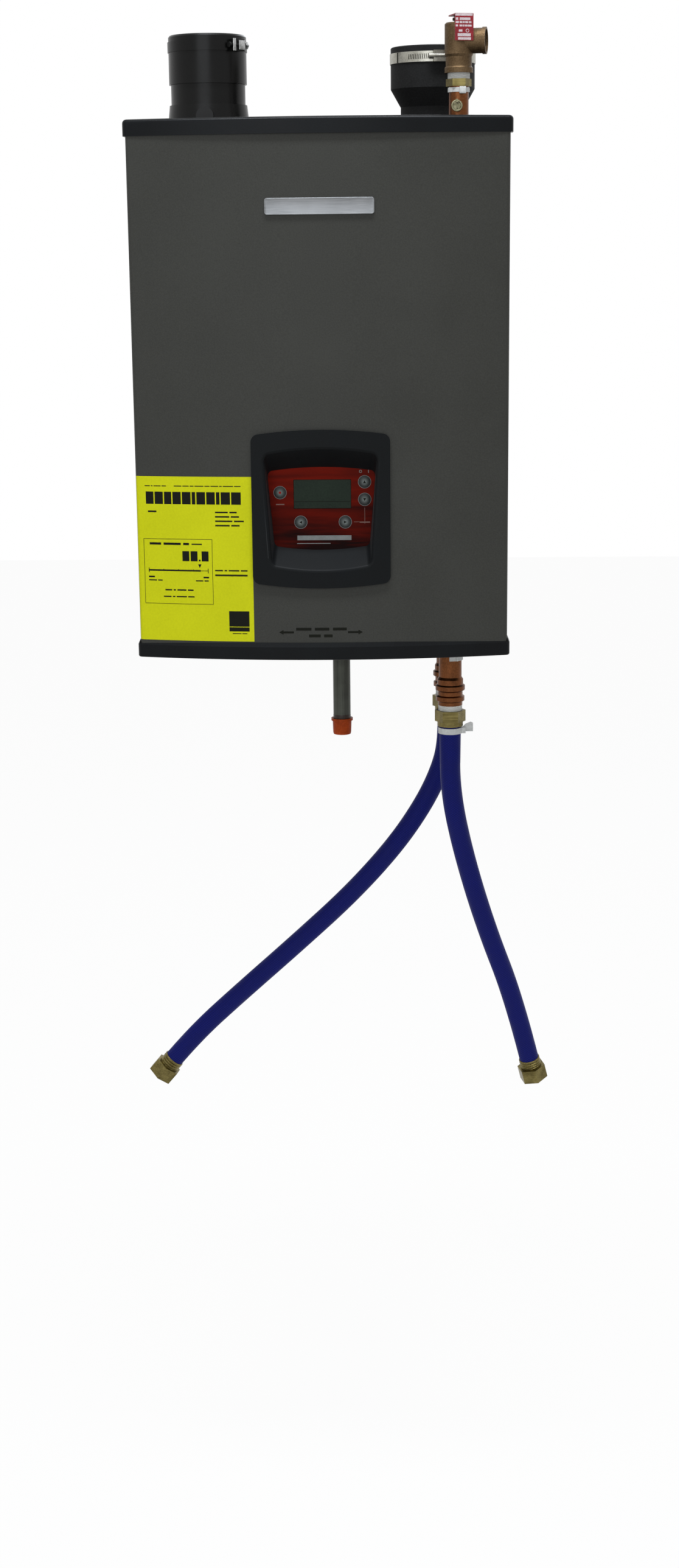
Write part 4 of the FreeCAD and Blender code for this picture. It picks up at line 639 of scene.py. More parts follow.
# Label film: vinyl, bright yellow with a faint mottle.
LABEL_VINYL = Grained(
    "printed_vinyl_yellow", "#D4D616", "#CACC12", 0.5, specular=0.1,
    grain_mm=2.0, relief_mm=0.01, cloud_mm=60,
)
# Screen inks: thin and matte, so that they read as print and not as a part.
BLACK_INK = Ink("screen_ink_black", "#15160F", "#0E0F0A", 0.6, specular=0.1, cloud_mm=20)
SILVER_INK = Ink("screen_ink_silver", "#8C8F8D", "#797C7A", specular=0.2)
ROSE_INK = Ink("screen_ink_rose_grey", "#8E6E66", "#77584F")
PALE_INK = Ink("screen_ink_pale", "#DACDCE", "#C2B0B2", cloud_mm=6)
RED_INK = Ink("screen_ink_red", "#A3231A", "#881B12")
# Anodised aluminium plate: satin, brushed along its length.
SATIN = Streaked(
    "brushed_anodised_aluminium", "#8E9092", "#727476", 0.48, metallic=1.0, run=Run.ACROSS,
    streak_mm=0.9, length_mm=50, patch_mm=60,
)
# Zinc-plated screws: bright and cool, a little blotched.
ZINC_SCREW = Grained(
    "zinc_plated_screw", "#C2C3C2", "#8D8E8E", 0.34, metallic=1.0,
    grain_mm=1.2, relief_mm=0.04, cloud_mm=6,
)
# Studio paper: almost white, so that only the object's shadow shows on it.
STUDIO_FLOOR = Backdrop(
    "matte_paper_white", "#F4F4F2", "#EFEFED", 0.9, specular=0.1,
    grain_mm=30, relief_mm=0.05, cloud_mm=800,
)

# The centre of each key: across and up, in millimetres
KEY_PLACES: dict[str, Pair] = {
    "reset": (-47.5, -350.7),
    "back": (-24.2, -384.6),
    "next": (26.7, -384.6),
    "up": (49.1, -339.1),
    "down": (49.1, -359.0),
}


def key_finish(key: str) -> PaintedLightKeyCap:
    """Return the metallised finish, with its painted highlight and painted shade centred on one
    key.
    """
    x, z = (value * MM for value in KEY_PLACES[key])
    # The light colour is the painted highlight at each key's crown, and the dark one is the painted
    # shade at its edge
    return PaintedLightKeyCap("metallised_key_painted_light_" + key, "#98A19D", "#232625", 0.4, across=x, height=z)


def soften(bm: BMesh, geom: Sequence[Any], radius: float, steps: int, kind: str = "EDGES") -> None:
    """Round some edges or corners of a mesh."""
    size = {"offset": radius, "segments": steps, "profile": 0.5}
    bmesh.ops.bevel(bm, geom=list(geom), affect=kind, material=-1, **size)


def raised(bm: BMesh, way: Triple) -> BMesh:
    """Give flat faces a thickness.

    Args:
        bm: Flat faces in one plane.
        way: How far and which way they are drawn out.

    Returns:
        The same mesh, closed.
    """
    made = bmesh.ops.extrude_face_region(bm, geom=bm.faces[:])
    drawn = [part for part in made["geom"] if isinstance(part, BMVert)]
    bmesh.ops.translate(bm, verts=drawn, vec=way)
    bmesh.ops.recalc_face_normals(bm, faces=bm.faces[:])
    return bm


def plate(width: float, height: float, depth: float, corner: float = 0.0) -> BMesh:
    """Make a plate that faces the front, centred on the origin.

    Args:
        width: Its size across.
        height: Its size upwards.
        depth: How far it stands forward of the origin's plane.
        corner: The radius of its corners.

    Returns:
        The plate's mesh.
    """
    bm = bmesh.new()
    bmesh.ops.create_grid(bm, x_segments=1, y_segments=1, size=0.5)
    bmesh.ops.rotate(bm, verts=bm.verts, matrix=turn("X", 90))
    bmesh.ops.scale(bm, verts=bm.verts, vec=(width, 1.0, height))
    if corner:
        soften(bm, bm.verts, corner, 5, "VERTICES")
    return raised(bm, (0.0, -depth, 0.0))


def outline(points: Sequence[Pair], depth: float) -> BMesh:
    """Make a plate of a few corners that faces the front.

    Args:
        points: Its corners, across and up.
        depth: How far it stands forward.

    Returns:
        The plate's mesh.
    """
    bm = bmesh.new()
    bm.faces.new([bm.verts.new((x, 0.0, z)) for x, z in points])
    return raised(bm, (0.0, -depth, 0.0))


def lathe(profile: Sequence[Pair], steps: int = 40, angle: float = 360.0) -> BMesh:
    """Spin a closed profile about the upright axis.

    Args:
        profile: Corners as radius and height.
        steps: The number of steps in the turn.
        angle: The turn in degrees; less than a full one keeps both of its ends closed.

    Returns:
        The spun mesh.
    """
    bm = bmesh.new()
    face = bm.faces.new([bm.verts.new((radius, 0.0, height)) for radius, height in profile])
    whole = angle >= 360.0
    geom = list(face.edges) + list(face.verts)
    if whole:
        bmesh.ops.delete(bm, geom=[face], context="FACES_ONLY")
    else:
        geom.append(face)
    about = {"cent": (0, 0, 0), "axis": (0, 0, 1), "angle": math.radians(angle)}
    bmesh.ops.spin(bm, geom=geom, steps=steps, use_merge=whole, **about)
    bmesh.ops.remove_doubles(bm, verts=bm.verts[:], dist=1e-7)
    bmesh.ops.recalc_face_normals(bm, faces=bm.faces[:])
    return bm


def ring(radii: Pair, low: float, high: float, steps: int = 40, angle: float = 360.0) -> BMesh:
    """Spin a flat-sided ring, or a disc where its inner radius is 0."""
    inner, outer = radii
    return lathe(((inner, low), (outer, low), (outer, high), (inner, high)), steps, angle)


def block(size: Triple, edge: float) -> BMesh:
    """Make a block with rounded edges, centred on the origin.

    Args:
        size: Its three sizes.
        edge: The radius of its edges.

    Returns:
        The block's mesh.
    """
    bm = bmesh.new()
    bmesh.ops.create_cube(bm, size=1.0)
    bmesh.ops.scale(bm, verts=bm.verts, vec=size)
    soften(bm, bm.edges, edge, 3)
    return bm


def hexagon(radius: float, height: float, edge: float) -> BMesh:
    """Make a screw's six-sided head on the upright axis, centred on the origin.

    Args:
        radius: The radius to its corners.
        height: Its height.
        edge: The radius of its upper edges.

    Returns:
        The head's mesh.
    """
    bm = bmesh.new()
    ends = {"radius1": radius, "radius2": radius, "depth": height}
    bmesh.ops.create_cone(bm, cap_ends=True, segments=6, **ends)
    top = max(bm.faces, key=lambda face: face.calc_center_median().z)
    soften(bm, top.edges, edge, 2)
    return bm


def nut(corners: float, bore: float, height: float) -> BMesh:
    """Make a six-sided ring on the upright axis.

    Args:
        corners: The radius to its corners.
        bore: The radius of its hole.
        height: Its height above the origin.

    Returns:
        The ring's mesh.
    """
    bm = bmesh.new()
    bmesh.ops.create_circle(bm, segments=6, radius=corners)
    bmesh.ops.subdivide_edges(bm, edges=bm.edges[:], cuts=5)
    bmesh.ops.create_circle(bm, segments=36, radius=bore)
    bmesh.ops.bridge_loops(bm, edges=bm.edges[:])
    return raised(bm, (0.0, 0.0, height))


def moved(bm: BMesh, to: Sequence[float], turned: Matrix | None = None) -> BMesh:
    """Turn a mesh about the origin and move it.

    Args:
        bm: The mesh.
        to: Where its origin goes.
        turned: A rotation, made first.

    Returns:
        The same mesh.
    """
    if turned is not None:
        bmesh.ops.rotate(bm, verts=bm.verts, matrix=turned)
    bmesh.ops.translate(bm, verts=bm.verts, vec=to)
    return bm


def gathered(parts: Sequence[BMesh]) -> BMesh:
    """Join several meshes into one.

    Args:
        parts: The meshes, which are used up.

    Returns:
        The joined mesh.
    """
    whole = bmesh.new()
    held = bpy.data.meshes.new("held")
    for part in parts:
        part.to_mesh(held)
        part.free()
        whole.from_mesh(held)
    bpy.data.meshes.remove(held)
    return whole


def printed_ring(radii: Pair, to: Triple, steps: int = 40) -> BMesh:
    """Make a ring of print that faces the front."""
    return moved(ring(radii, 0.0, INK, steps), to, turn("X", 90))


def printed_bars(places: Sequence[Quad], plane: float = 0.0, depth: float = INK) -> list[BMesh]:
    """Make bars of print that face the front.

    Args:
        places: Each bar's middle across and up, its width and its height, in millimetres.
        plane: The depth of the surface that they are on.
        depth: How thick the print is.

    Returns:
        A mesh for each bar.
    """
    made = []
    for x, z, width, height in places:
        made.append(moved(plate(width * MM, height * MM, depth), (x * MM, plane, z * MM)))
    return made


def piece(name: str, bm: BMesh, finish: Finish, body: Body = Body.CABINET) -> Object:
    """Make a finished piece of a mesh and set it on its body.

    Args:
        name: The piece's name.
        bm: Its mesh, in place, which is used up.
        finish: Its finish.
        body: The body that it rides on.

    Returns:
        The piece.
    """
    mesh = bpy.data.meshes.new(name)
    bm.to_mesh(mesh)
    bm.free()
    mesh.shade_smooth()
    mesh.set_sharp_from_angle(angle=HARD_EDGE)
    mesh.materials.append(finish.material())
    made = bpy.data.objects.new(name, mesh)
    bpy.context.scene.collection.objects.link(made)
    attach(made, body.value)
    LOG.info("%s on %s, %d faces", name, body.value, len(mesh.polygons))
    return made


@dataclass
class CoverDressing:
    """What is stuck on the bowed cover: the blank badge plate, the label and the pull arrows."""

    half_width: float = 0.2125
    side_plane: float = -0.300
    bow: float = 0.025
    corner: float = 0.005
    corner_cuts: int = 6
    strip: float = 0.004
    badge_size: Triple = (0.1212, 0.018, 0.0022)
    badge_place: Triple = (0.0021, 0.0, -0.035)
    badge_corner: float = 0.003
    badge_edge: float = 0.0006
    badge_rim: float = 0.0012
    badge_dish: float = 0.0005
    label_left: float = -212.0
    label_top: float = -330.5
    label_width: float = 133.5
    label_height: float = 188.5
    label_depth: float = 0.00012
    label_lift: float = 0.00003
    print_rise: float = 1.6
    print_depth: float = 0.00004
    print_lift: float = 0.00017
    pointer_place: Pair = (72.0, 105.6)
    heading_top: float = 19.0
    heading_height: float = 14.0
    word_gap: float = 1.1
    arrow_tips: Pair = (-49.8, 46.3)
    arrow_height: float = -508.0
    arrow_lift: float = 0.00004

    # The blocks that stand for the label's heading: left and width
    HEADING: ClassVar[tuple[Pair, ...]] = (
        (11, 9), (21.4, 9.6), (32.4, 8.4), (42.2, 9.6), (53.2, 10), (64.6, 4), (70, 10),
        (81.4, 9.8), (92.6, 4), (98, 10.6), (110, 11),
    )
    # The label's box, figure, scale and square: left, top, width and height
    BARS: ClassVar[tuple[Quad, ...]] = (
        (7, 72.6, 80, 0.5), (7, 147.2, 80, 0.5), (7, 72.6, 0.5, 75), (86.5, 72.6, 0.5, 75),
        (52, 86.5, 8, 11.5), (61.6, 86.5, 8, 11.5), (71, 96, 2, 2), (74.4, 86.5, 8, 11.5),
        (12, 108, 61, 1.8), (73, 108.6, 8.6, 0.6), (12, 106.2, 0.8, 5.4), (81.2, 106.2, 0.8, 5.4),
        (29.4, 107.4, 0.7, 1.6), (46.8, 107.4, 0.7, 1.6), (64.2, 107.4, 0.7, 1.6),
        (104.8, 155, 23.4, 17.8), (104.8, 173.6, 23.4, 4.8),
    )
    # The label's small print: left, top, width, height and number of words
    LINES: ClassVar[tuple[tuple[float, float, float, float, int], ...]] = (
        (10, 11.9, 25, 1.0, 4), (44, 11.9, 77, 1.0, 9), (91, 41, 25, 1.7, 2),
        (91, 46, 27.5, 1.7, 2), (91, 51, 33, 1.7, 2), (91, 56, 28, 1.7, 2),
        (13, 40.6, 10, 1.9, 1), (14, 77, 46, 2.6, 3), (63, 77.8, 12, 1.4, 1),
        (12, 115.6, 7, 1.8, 1), (76, 115.6, 6.4, 1.8, 1),
        (12, 119.8, 16, 1.3, 2), (67, 119.8, 15, 1.3, 2), (31, 130.6, 33, 1.6, 4),
        (29, 138.4, 36, 1.4, 4), (89.6, 107.6, 37.5, 1.5, 4), (89.6, 112.8, 37.5, 1.9, 1),
        (108.5, 180.4, 17, 0.9, 2),
    )
    # The lengths of the words of a line, as shares of it
    SHARES: ClassVar[tuple[int, ...]] = (5, 3, 7, 4, 6, 2, 8, 5, 3, 6)
    # The scale's pointer and a pull arrow, each from its tip, and the bars between the arrows
    POINTER: ClassVar[tuple[Pair, ...]] = ((0, 0), (2, 4.2), (-2, 4.2))
    ARROW: ClassVar[tuple[Pair, ...]] = (
        (0, 0), (5, 2.7), (5, 1.15), (17, 1.15), (17, -1.15), (5, -1.15), (5, -2.7),
    )
    NOTE: ClassVar[tuple[Quad, ...]] = (
        (-21.4, -504.3, 17.6, 3.2), (-0.4, -504.3, 16.6, 3.2), (20.0, -504.3, 15.8, 3.2),
        (-8.7, -512.1, 13.4, 3.2), (6.7, -512.1, 9.8, 3.2),
    )

    @property
    def radius(self) -> float:
        """Return the radius of the cover's bow."""
        return self.half_width**2 / (2 * self.bow) + self.bow / 2

    def front(self, across: float) -> float:
        """Find the cover's front at one place across it.

        Args:
            across: The distance from the middle.

        Returns:
            The depth of the surface there, rounded corners included.
        """
        axis = self.side_plane - self.bow + self.radius
        corner_x = self.half_width - self.corner
        corner_y = axis - math.sqrt((self.radius - self.corner) ** 2 - corner_x**2)
        reach = min(abs(across), self.half_width)
        if reach <= corner_x * self.radius / (self.radius - self.corner):
            return axis - math.sqrt(self.radius**2 - reach**2)
        return corner_y - math.sqrt(max(self.corner**2 - (reach - corner_x) ** 2, 0.0))

    def stick(self, name: str, bm: BMesh, lift: float, finish: Finish) -> None:
        """Cut a flat mesh into upright strips, lay it on the bow and make it a piece.

        Args:
            name: The piece's name.
            bm: Its mesh, flat at depth 0 and in place across and up.
            lift: How far in front of the cover it lies.
            finish: Its finish.
        """
        left = min(vert.co.x for vert in bm.verts)
        right = max(vert.co.x for vert in bm.verts)
        cuts = [left + self.strip * i for i in range(1, int((right - left) / self.strip) + 1)]
        edge, step = self.half_width - self.corner, self.corner / self.corner_cuts
        cuts += [side * (edge + step * i) for side in (-1, 1) for i in range(self.corner_cuts)]
        for cut in cuts:
            if left < cut < right:
                geom = bm.verts[:] + bm.edges[:] + bm.faces[:]
                bmesh.ops.bisect_plane(bm, geom=geom, plane_co=(cut, 0, 0), plane_no=(1, 0, 0))
        for vert in bm.verts:
            vert.co.y += self.front(vert.co.x) - lift
        piece(name, bm, finish, Body.COVER)

    def badge_plate(self) -> None:
        """Make the blank badge: a satin plate with a raised rim."""
        bm = plate(*self.badge_size, self.badge_corner)
        face = min(bm.faces, key=lambda f: f.calc_center_median().y)
        soften(bm, face.edges, self.badge_edge, 3)
        face = min(bm.faces, key=lambda f: (round(f.calc_center_median().y, 6), -f.calc_area()))
        bmesh.ops.inset_region(bm, faces=[face], thickness=self.badge_rim, depth=-self.badge_dish)
        self.stick("badge_plate", moved(bm, self.badge_place), 0.0, SATIN)

    def label_sheet(self) -> None:
        """Make the yellow label's sheet."""
        across = self.label_left + self.label_width / 2
        height = self.label_top - self.label_height / 2
        place = (across, height, self.label_width, self.label_height)
        sheet = gathered(printed_bars([place], depth=self.label_depth))
        self.stick("label_sheet", sheet, self.label_lift, LABEL_VINYL)

    def words(self, left: float, top: float, width: float, height: float, count: int) -> list[Quad]:
        """Stand in for a line of small print with bars as long as words.

        Args:
            left: The line's left end.
            top: Its upper edge.
            width: Its whole length.
            height: The height of its bars.
            count: The number of bars.

        Returns:
            The bars' left, top, width and height.
        """
        shares = [self.SHARES[(i + count) % len(self.SHARES)] for i in range(count)]
        gap = self.word_gap * height
        scale = (width - gap * (count - 1)) / sum(shares)
        bars = []
        for share in shares:
            bars.append((left, top, share * scale, height))
            left += share * scale + gap
        return bars

    def label_print(self) -> None:
        """Print the label with plain marks: a heading of blocks, lines, a scale and a square."""
        bars = [(x, self.heading_top, width, self.heading_height) for x, width in self.HEADING]
        bars += self.BARS
        for line in self.LINES:
            bars += self.words(*line)
        left, top = self.label_left, self.label_top + self.print_rise
        places = [(left + x + w / 2, top - z - h / 2, w, h) for x, z, w, h in bars]
        x, z = left + self.pointer_place[0], top - self.pointer_place[1]
        tip = outline([((x + i) * MM, (z + k) * MM) for i, k in self.POINTER], self.print_depth)
        marks = gathered([*printed_bars(places, depth=self.print_depth), tip])
        self.stick("label_print", marks, self.print_lift, BLACK_INK)

    def pull_arrows(self) -> None:
        """Print the two arrows that show where the cover is pulled, and plain bars between them."""
        parts = printed_bars(self.NOTE)
        for tip, way in zip(self.arrow_tips, (1, -1)):
            points = [((tip + way * x) * MM, (self.arrow_height + z) * MM) for x, z in self.ARROW]
            parts.append(outline(points, INK))
        self.stick("pull_arrows", gathered(parts), self.arrow_lift, BLACK_INK)

    def dress(self) -> None:
        """Make everything that is stuck on the cover."""
        for make in (self.badge_plate, self.label_sheet, self.label_print, self.pull_arrows):
            make()


@dataclass
class ControlPrint:
    """The print on the fascia and the marks on the five keys."""

    fascia: float = -0.300
    glass: float = -0.2996
    crown: float = -0.301
    key_ring: Pair = (0.0070, 0.0075)
    off_ring: Pair = (0.0011, 0.0017)
    off_place: Triple = (0.0446, -0.300, -0.3272)
    line_depth: float = 0.00003
    dot: float = 0.0015

    # Bars, in millimetres: the lines from two keys and the places of the keys' words, the stroke
    # for on, the place of the name with its underline, and the line on the display
    LEADERS: ClassVar[tuple[Quad, ...]] = (
        (49.1, -377.5, 0.6, 18.0), (40.2, -384.6, 7.4, 0.6),
        (-47.5, -364.2, 9.5, 1.4), (49.1, -385.0, 12.0, 1.4),
    )
    STROKE: ClassVar[tuple[Quad, ...]] = ((53.6, -327.2, 0.7, 3.4),)
    NAME: ClassVar[tuple[Quad, ...]] = ((2.6, -402.6, 62.0, 5.4), (-9.6, -409.0, 38.4, 0.8))
    LINE: ClassVar[tuple[Quad, ...]] = ((0.8, -361.2, 63.5, 0.6),)
    # The triangle on a key, and how far each key's is turned from pointing up, in degrees
    TRIANGLE: ClassVar[tuple[Pair, ...]] = ((-0.0017, -0.0015), (0.0017, -0.0015), (0.0, 0.0019))
    MARKS: ClassVar[tuple[tuple[str, Body, float], ...]] = (
        ("up", Body.UP, 0), ("down", Body.DOWN, 180),
        ("back", Body.BACK, -90), ("next", Body.NEXT, 90),
    )

    def on_key(self, key: str, depth: float) -> Triple:
        """Return the place of a key's centre at one depth."""
        across, height = KEY_PLACES[key]
        return across * MM, depth, height * MM

    def fascia_print(self) -> None:
        """Print the rings, lines, marks and bars on the fascia, and the line on the display."""
        rings = [printed_ring(self.key_ring, self.on_key(key, self.fascia)) for key in KEY_PLACES]
        leaders = printed_bars(self.LEADERS, self.fascia)
        off = printed_ring(self.off_ring, self.off_place)
        switch = [off, *printed_bars(self.STROKE, self.fascia)]
        name = printed_bars(self.NAME, self.fascia)
        line = printed_bars(self.LINE, self.glass, self.line_depth)
        piece("key_rings", gathered(rings), SILVER_INK)
        piece("leader_lines", gathered(leaders), ROSE_INK)
        piece("switch_marks", gathered(switch), SILVER_INK)
        piece("silver_bar", gathered(name), SILVER_INK)
        piece("display_line", gathered(line), BLACK_INK)

    def key_marks(self) -> None:
        """Print a triangle on the crowns of four keys and a red dot on the reset key."""
        for key, body, degrees in self.MARKS:
            mark = outline(self.TRIANGLE, INK)
            moved(mark, self.on_key(key, self.crown), turn("Y", degrees))
            piece("key_mark_" + key, mark, BLACK_INK, body)
        dot = printed_ring((0.0, self.dot), self.on_key("reset", self.crown), 24)
        piece("key_mark_reset", dot, RED_INK, Body.RESET)

    def dress(self) -> None:
        """Print the fascia, the display and the keys."""
        self.fascia_print()
        self.key_marks()


@dataclass
class TopFittings:
    """The small things on the vent, the intake and the relief valve."""

    vent: Pair = (-0.1318, -0.150)
    intake: Pair = (0.1285, -0.150)
    supply: Pair = (0.1566, -0.240)
    band: float = 0.0495
    band_height: float = 0.1302
    slit: Pair = (0.0008, 0.0058)
    slit_lean: float = 7.0
    slit_first: float = -34.0
    slit_step: float = 2.5
    slit_count: int = 13
    slit_corner: float = 0.0003
    seam: Pair = (0.0022, 0.0112)
    seam_angle: float = -54.5
    clamp_height: float = 0.14625
    clamp_angle: float = 50.0
    tab: Triple = (0.0044, 0.0012, 0.0136)
    tab_place: Triple = (-0.0086, -0.0524, 0.0)
    cover: Triple = (0.0100, 0.0012, 0.0104)
    cover_place: Triple = (0.0036, -0.0524, 0.0)
    small_edge: float = 0.0004
    head: Triple = (0.0046, 0.0050, 0.0007)
    head_place: Triple = (0.0125, -0.0487, 0.0)
    head_rim: float = 0.0012
    head_dish: float = 0.0006
    bleed: Triple = (0.1542, -0.2520, 0.0725)
    bleed_key: Triple = (0.0016, 0.0016, 0.0066)
    bleed_key_place: Triple = (0.0006, -0.0014, 0.0)
    tie: Pair = (0.01112, 0.0123)
    tie_half: float = 0.0025
    tie_height: float = 0.0902
    tie_head: Triple = (0.0076, 0.0050, 0.0076)
    tie_head_edge: float = 0.0008
    tie_head_place: Triple = (0.0042, -0.0136, -0.0008)
    lever_place: Triple = (0.16216, -0.26077, 0.0)
    lever_angle: float = 15.0
    lever_ring: Pair = (0.0014, 0.0020)
    lever_ring_place: Triple = (0.0036, 0.0, 0.1515)
    flange_top: float = 0.059
    vent_reach: float = 0.0510
    vent_first: float = 45.0
    intake_reach: float = 0.0440
    intake_first: float = 30.0

    # The bleed's face and a pan head, as radius and height
    DISC: ClassVar[tuple[Pair, ...]] = (
        (0.0, -0.0030), (0.0046, -0.0030), (0.0046, 0.0004), (0.0040, 0.0010), (0.0, 0.0010),
    )
    PAN: ClassVar[tuple[Pair, ...]] = (
        (0.0, 0.0), (0.0026, 0.0), (0.0026, 0.0007),
        (0.0021, 0.0015), (0.0012, 0.0019), (0.0, 0.0020),
    )
    # The lever's bars, in millimetres: their height and size, and the two ends of each
    ROWS: ClassVar[tuple[tuple[float, float, tuple[Pair, ...]], ...]] = (
        (168.3, 2.4, ((-10.2, 9.6),)),
        (163.9, 2.6, ((-9.9, -7.0), (-5.3, 6.9))),
        (160.4, 2.2, ((-9.9, -6.3), (-5.3, -2.1), (-1.6, 0.3), (0.9, 4.2), (5.1, 8.1))),
        (156.8, 2.0, ((-9.9, -7.2), (-5.5, -2.3), (-1.8, -0.3), (0.3, 3.7), (4.2, 8.3))),
        (151.5, 2.4, ((-6.4, -2.2),)),
        (147.1, 3.2, ((-7.6, 7.4),)),
        (143.2, 2.6, ((-7.2, 7.6),)),
    )

    def band_slots(self) -> None:
        """Cut the worm's slots and the seam into the intake clamp's band, as dark slits."""
        angles = [self.slit_first + self.slit_step * i for i in range(self.slit_count)]
        slits = [(angle, self.slit, self.slit_lean) for angle in angles]
        parts = []
        for angle, size, lean in [*slits, (self.seam_angle, self.seam, 0.0)]:
            slit = plate(*size, INK, self.slit_corner)
            moved(slit, (0, -self.band, 0), turn("Y", lean))
            parts.append(moved(slit, (*self.intake, self.band_height), turn("Z", angle)))
        piece("band_slots", gathered(parts), BLACK_INK)

    def clamp_tab(self) -> None:
        """Make the bright tab and cover on the vent clamp's housing and its screw's head."""
        tab = moved(block(self.tab, self.small_edge), self.tab_place)
        cover = moved(block(self.cover, self.small_edge), self.cover_place)
        head = hexagon(*self.head)
        end = max(head.faces, key=lambda f: (round(f.calc_center_median().z, 6), f.calc_area()))
        bmesh.ops.inset_region(head, faces=[end], thickness=self.head_rim, depth=-self.head_dish)
        whole = gathered([tab, cover, moved(head, self.head_place, turn("Y", 90))])
        moved(whole, (*self.vent, self.clamp_height), turn("Z", self.clamp_angle))
        piece("clamp_tab", whole, ZINC_SCREW)

    def bleed_face(self) -> None:
        """Make the bleed's round face with its upright key, behind the pull ring."""
        disc = moved(lathe(self.DISC, 28), (0, 0, 0), turn("X", 90))
        key = moved(block(self.bleed_key, self.small_edge), self.bleed_key_place)
        piece("bleed_face", moved(gathered([disc, key]), self.bleed), DULL_BRASS)

    def riser_tie(self) -> None:
        """Make the nylon tie round the copper riser, with its head to the front."""
        band = ring(self.tie, -self.tie_half, self.tie_half)
        head = moved(block(self.tie_head, self.tie_head_edge), self.tie_head_place)
        tie = moved(gathered([band, head]), (*self.supply, self.tie_height))
        piece("riser_tie", tie, NYLON)

    def lever_bars(self) -> None:
        """Print pale bars and a ring on the test lever's plate, as a stand-in for small print."""
        parts = [printed_ring(self.lever_ring, self.lever_ring_place, 24)]
        for height, size, ends in self.ROWS:
            row = [((left + right) / 2, height, right - left, size) for left, right in ends]
            parts += printed_bars(row)
        marks = moved(gathered(parts), self.lever_place, turn("Z", self.lever_angle))
        piece("lever_bars", marks, PALE_INK, Body.LEVER)

    def flange_screws(self) -> None:
        """Screw the two flanges down with four small pan heads each."""
        flanges = (
            (self.vent, self.vent_reach, self.vent_first),
            (self.intake, self.intake_reach, self.intake_first),
        )
        parts = []
        for (across, depth), reach, first in flanges:
            for quarter in range(4):
                angle = math.radians(first + 90 * quarter)
                x, y = across + reach * math.cos(angle), depth + reach * math.sin(angle)
                parts.append(moved(lathe(self.PAN, 20), (x, y, self.flange_top)))
        piece("flange_screws", gathered(parts), ZINC_SCREW)

    def dress(self) -> None:
        """Make everything small on the top."""
        first = (self.band_slots, self.clamp_tab, self.bleed_face, self.riser_tie)
        for make in (*first, self.lever_bars, self.flange_screws):
            make()


@dataclass
class LowerFittings:
    """The clip on the supply fitting and the compound on the gas pipe's thread."""

    supply: Pair = (0.148, -0.240)
    clip: Pair = (0.01352, 0.0151)
    clip_half: float = 0.005
    clip_span: float = 105.0
    clip_start: float = -95.0
    clip_height: float = -0.5505
    rib: Triple = (0.0024, 0.0030, 0.0100)
    rib_edge: float = 0.0006
    rib_angle: float = 30.0
    rib_place: Triple = (0.0078, -0.0134, 0.0)
    gas: Pair = (0.0156, -0.130)
    gas_radius: float = 0.01065
    cap_top: float = -0.6485
    smear: float = 0.0002
    smear_heights: Pair = (0.0042, 0.0050)

    def fitting_clip(self) -> None:
        """Make the white spring clip round the right front of the supply fitting."""
        band = ring(self.clip, -self.clip_half, self.clip_half, 20, self.clip_span)
        moved(band, (0, 0, 0), turn("Z", self.clip_start))
        rib = moved(block(self.rib, self.rib_edge), self.rib_place, turn("Z", self.rib_angle))
        clip = moved(gathered([band, rib]), (*self.supply, self.clip_height))
        piece("fitting_clip", clip, NYLON)

    def thread_compound(self) -> None:
        """Smear thread compound round the gas pipe just above its cap."""
        pipe, skin = self.gas_radius, self.gas_radius + self.smear
        outer, inner = self.smear_heights
        smear = lathe(((pipe, 0.0), (skin, 0.0), (skin, outer), (pipe, inner)))
        piece("thread_compound", moved(smear, (*self.gas, self.cap_top)), DOPE)

    def dress(self) -> None:
        """Make the clip and the smear."""
        self.fitting_clip()
        self.thread_compound()


@dataclass
class PanelScrews:
    """The screws that hold the cabinet's panels."""

    side: float = 0.2125
    side_depths: Pair = (-0.252, -0.024)
    side_heights: Triple = (0.034, -0.240, -0.515)
    base: float = -0.537
    base_across: float = 0.196
    base_depths: Pair = (-0.245, -0.020)
    head: Triple = (0.0034, 0.0010, 0.0004)
    head_height: float = 0.0010

    # The washer, as radius and height
    WASHER: ClassVar[tuple[Pair, ...]] = (
        (0.0, 0.0), (0.0046, 0.0), (0.0046, 0.0004), (0.0042, 0.0006), (0.0, 0.0006),
    )

    def screw(self) -> BMesh:
        """Make one screw that points up: a washer and a six-sided head."""
        head = moved(hexagon(*self.head), (0, 0, self.head_height))
        return gathered([lathe(self.WASHER, 24), head])

    def dress(self) -> None:
        """Set the screws on both sides and on the base."""
        parts = []
        for side in (-1, 1):
            for depth in self.side_depths:
                for height in self.side_heights:
                    place = (side * self.side, depth, height)
                    parts.append(moved(self.screw(), place, turn("Y", side * 90)))
            for depth in self.base_depths:
                place = (side * self.base_across, depth, self.base)
                parts.append(moved(self.screw(), place, turn("X", 180)))
        piece("panel_screws", gathered(parts), ZINC_SCREW)


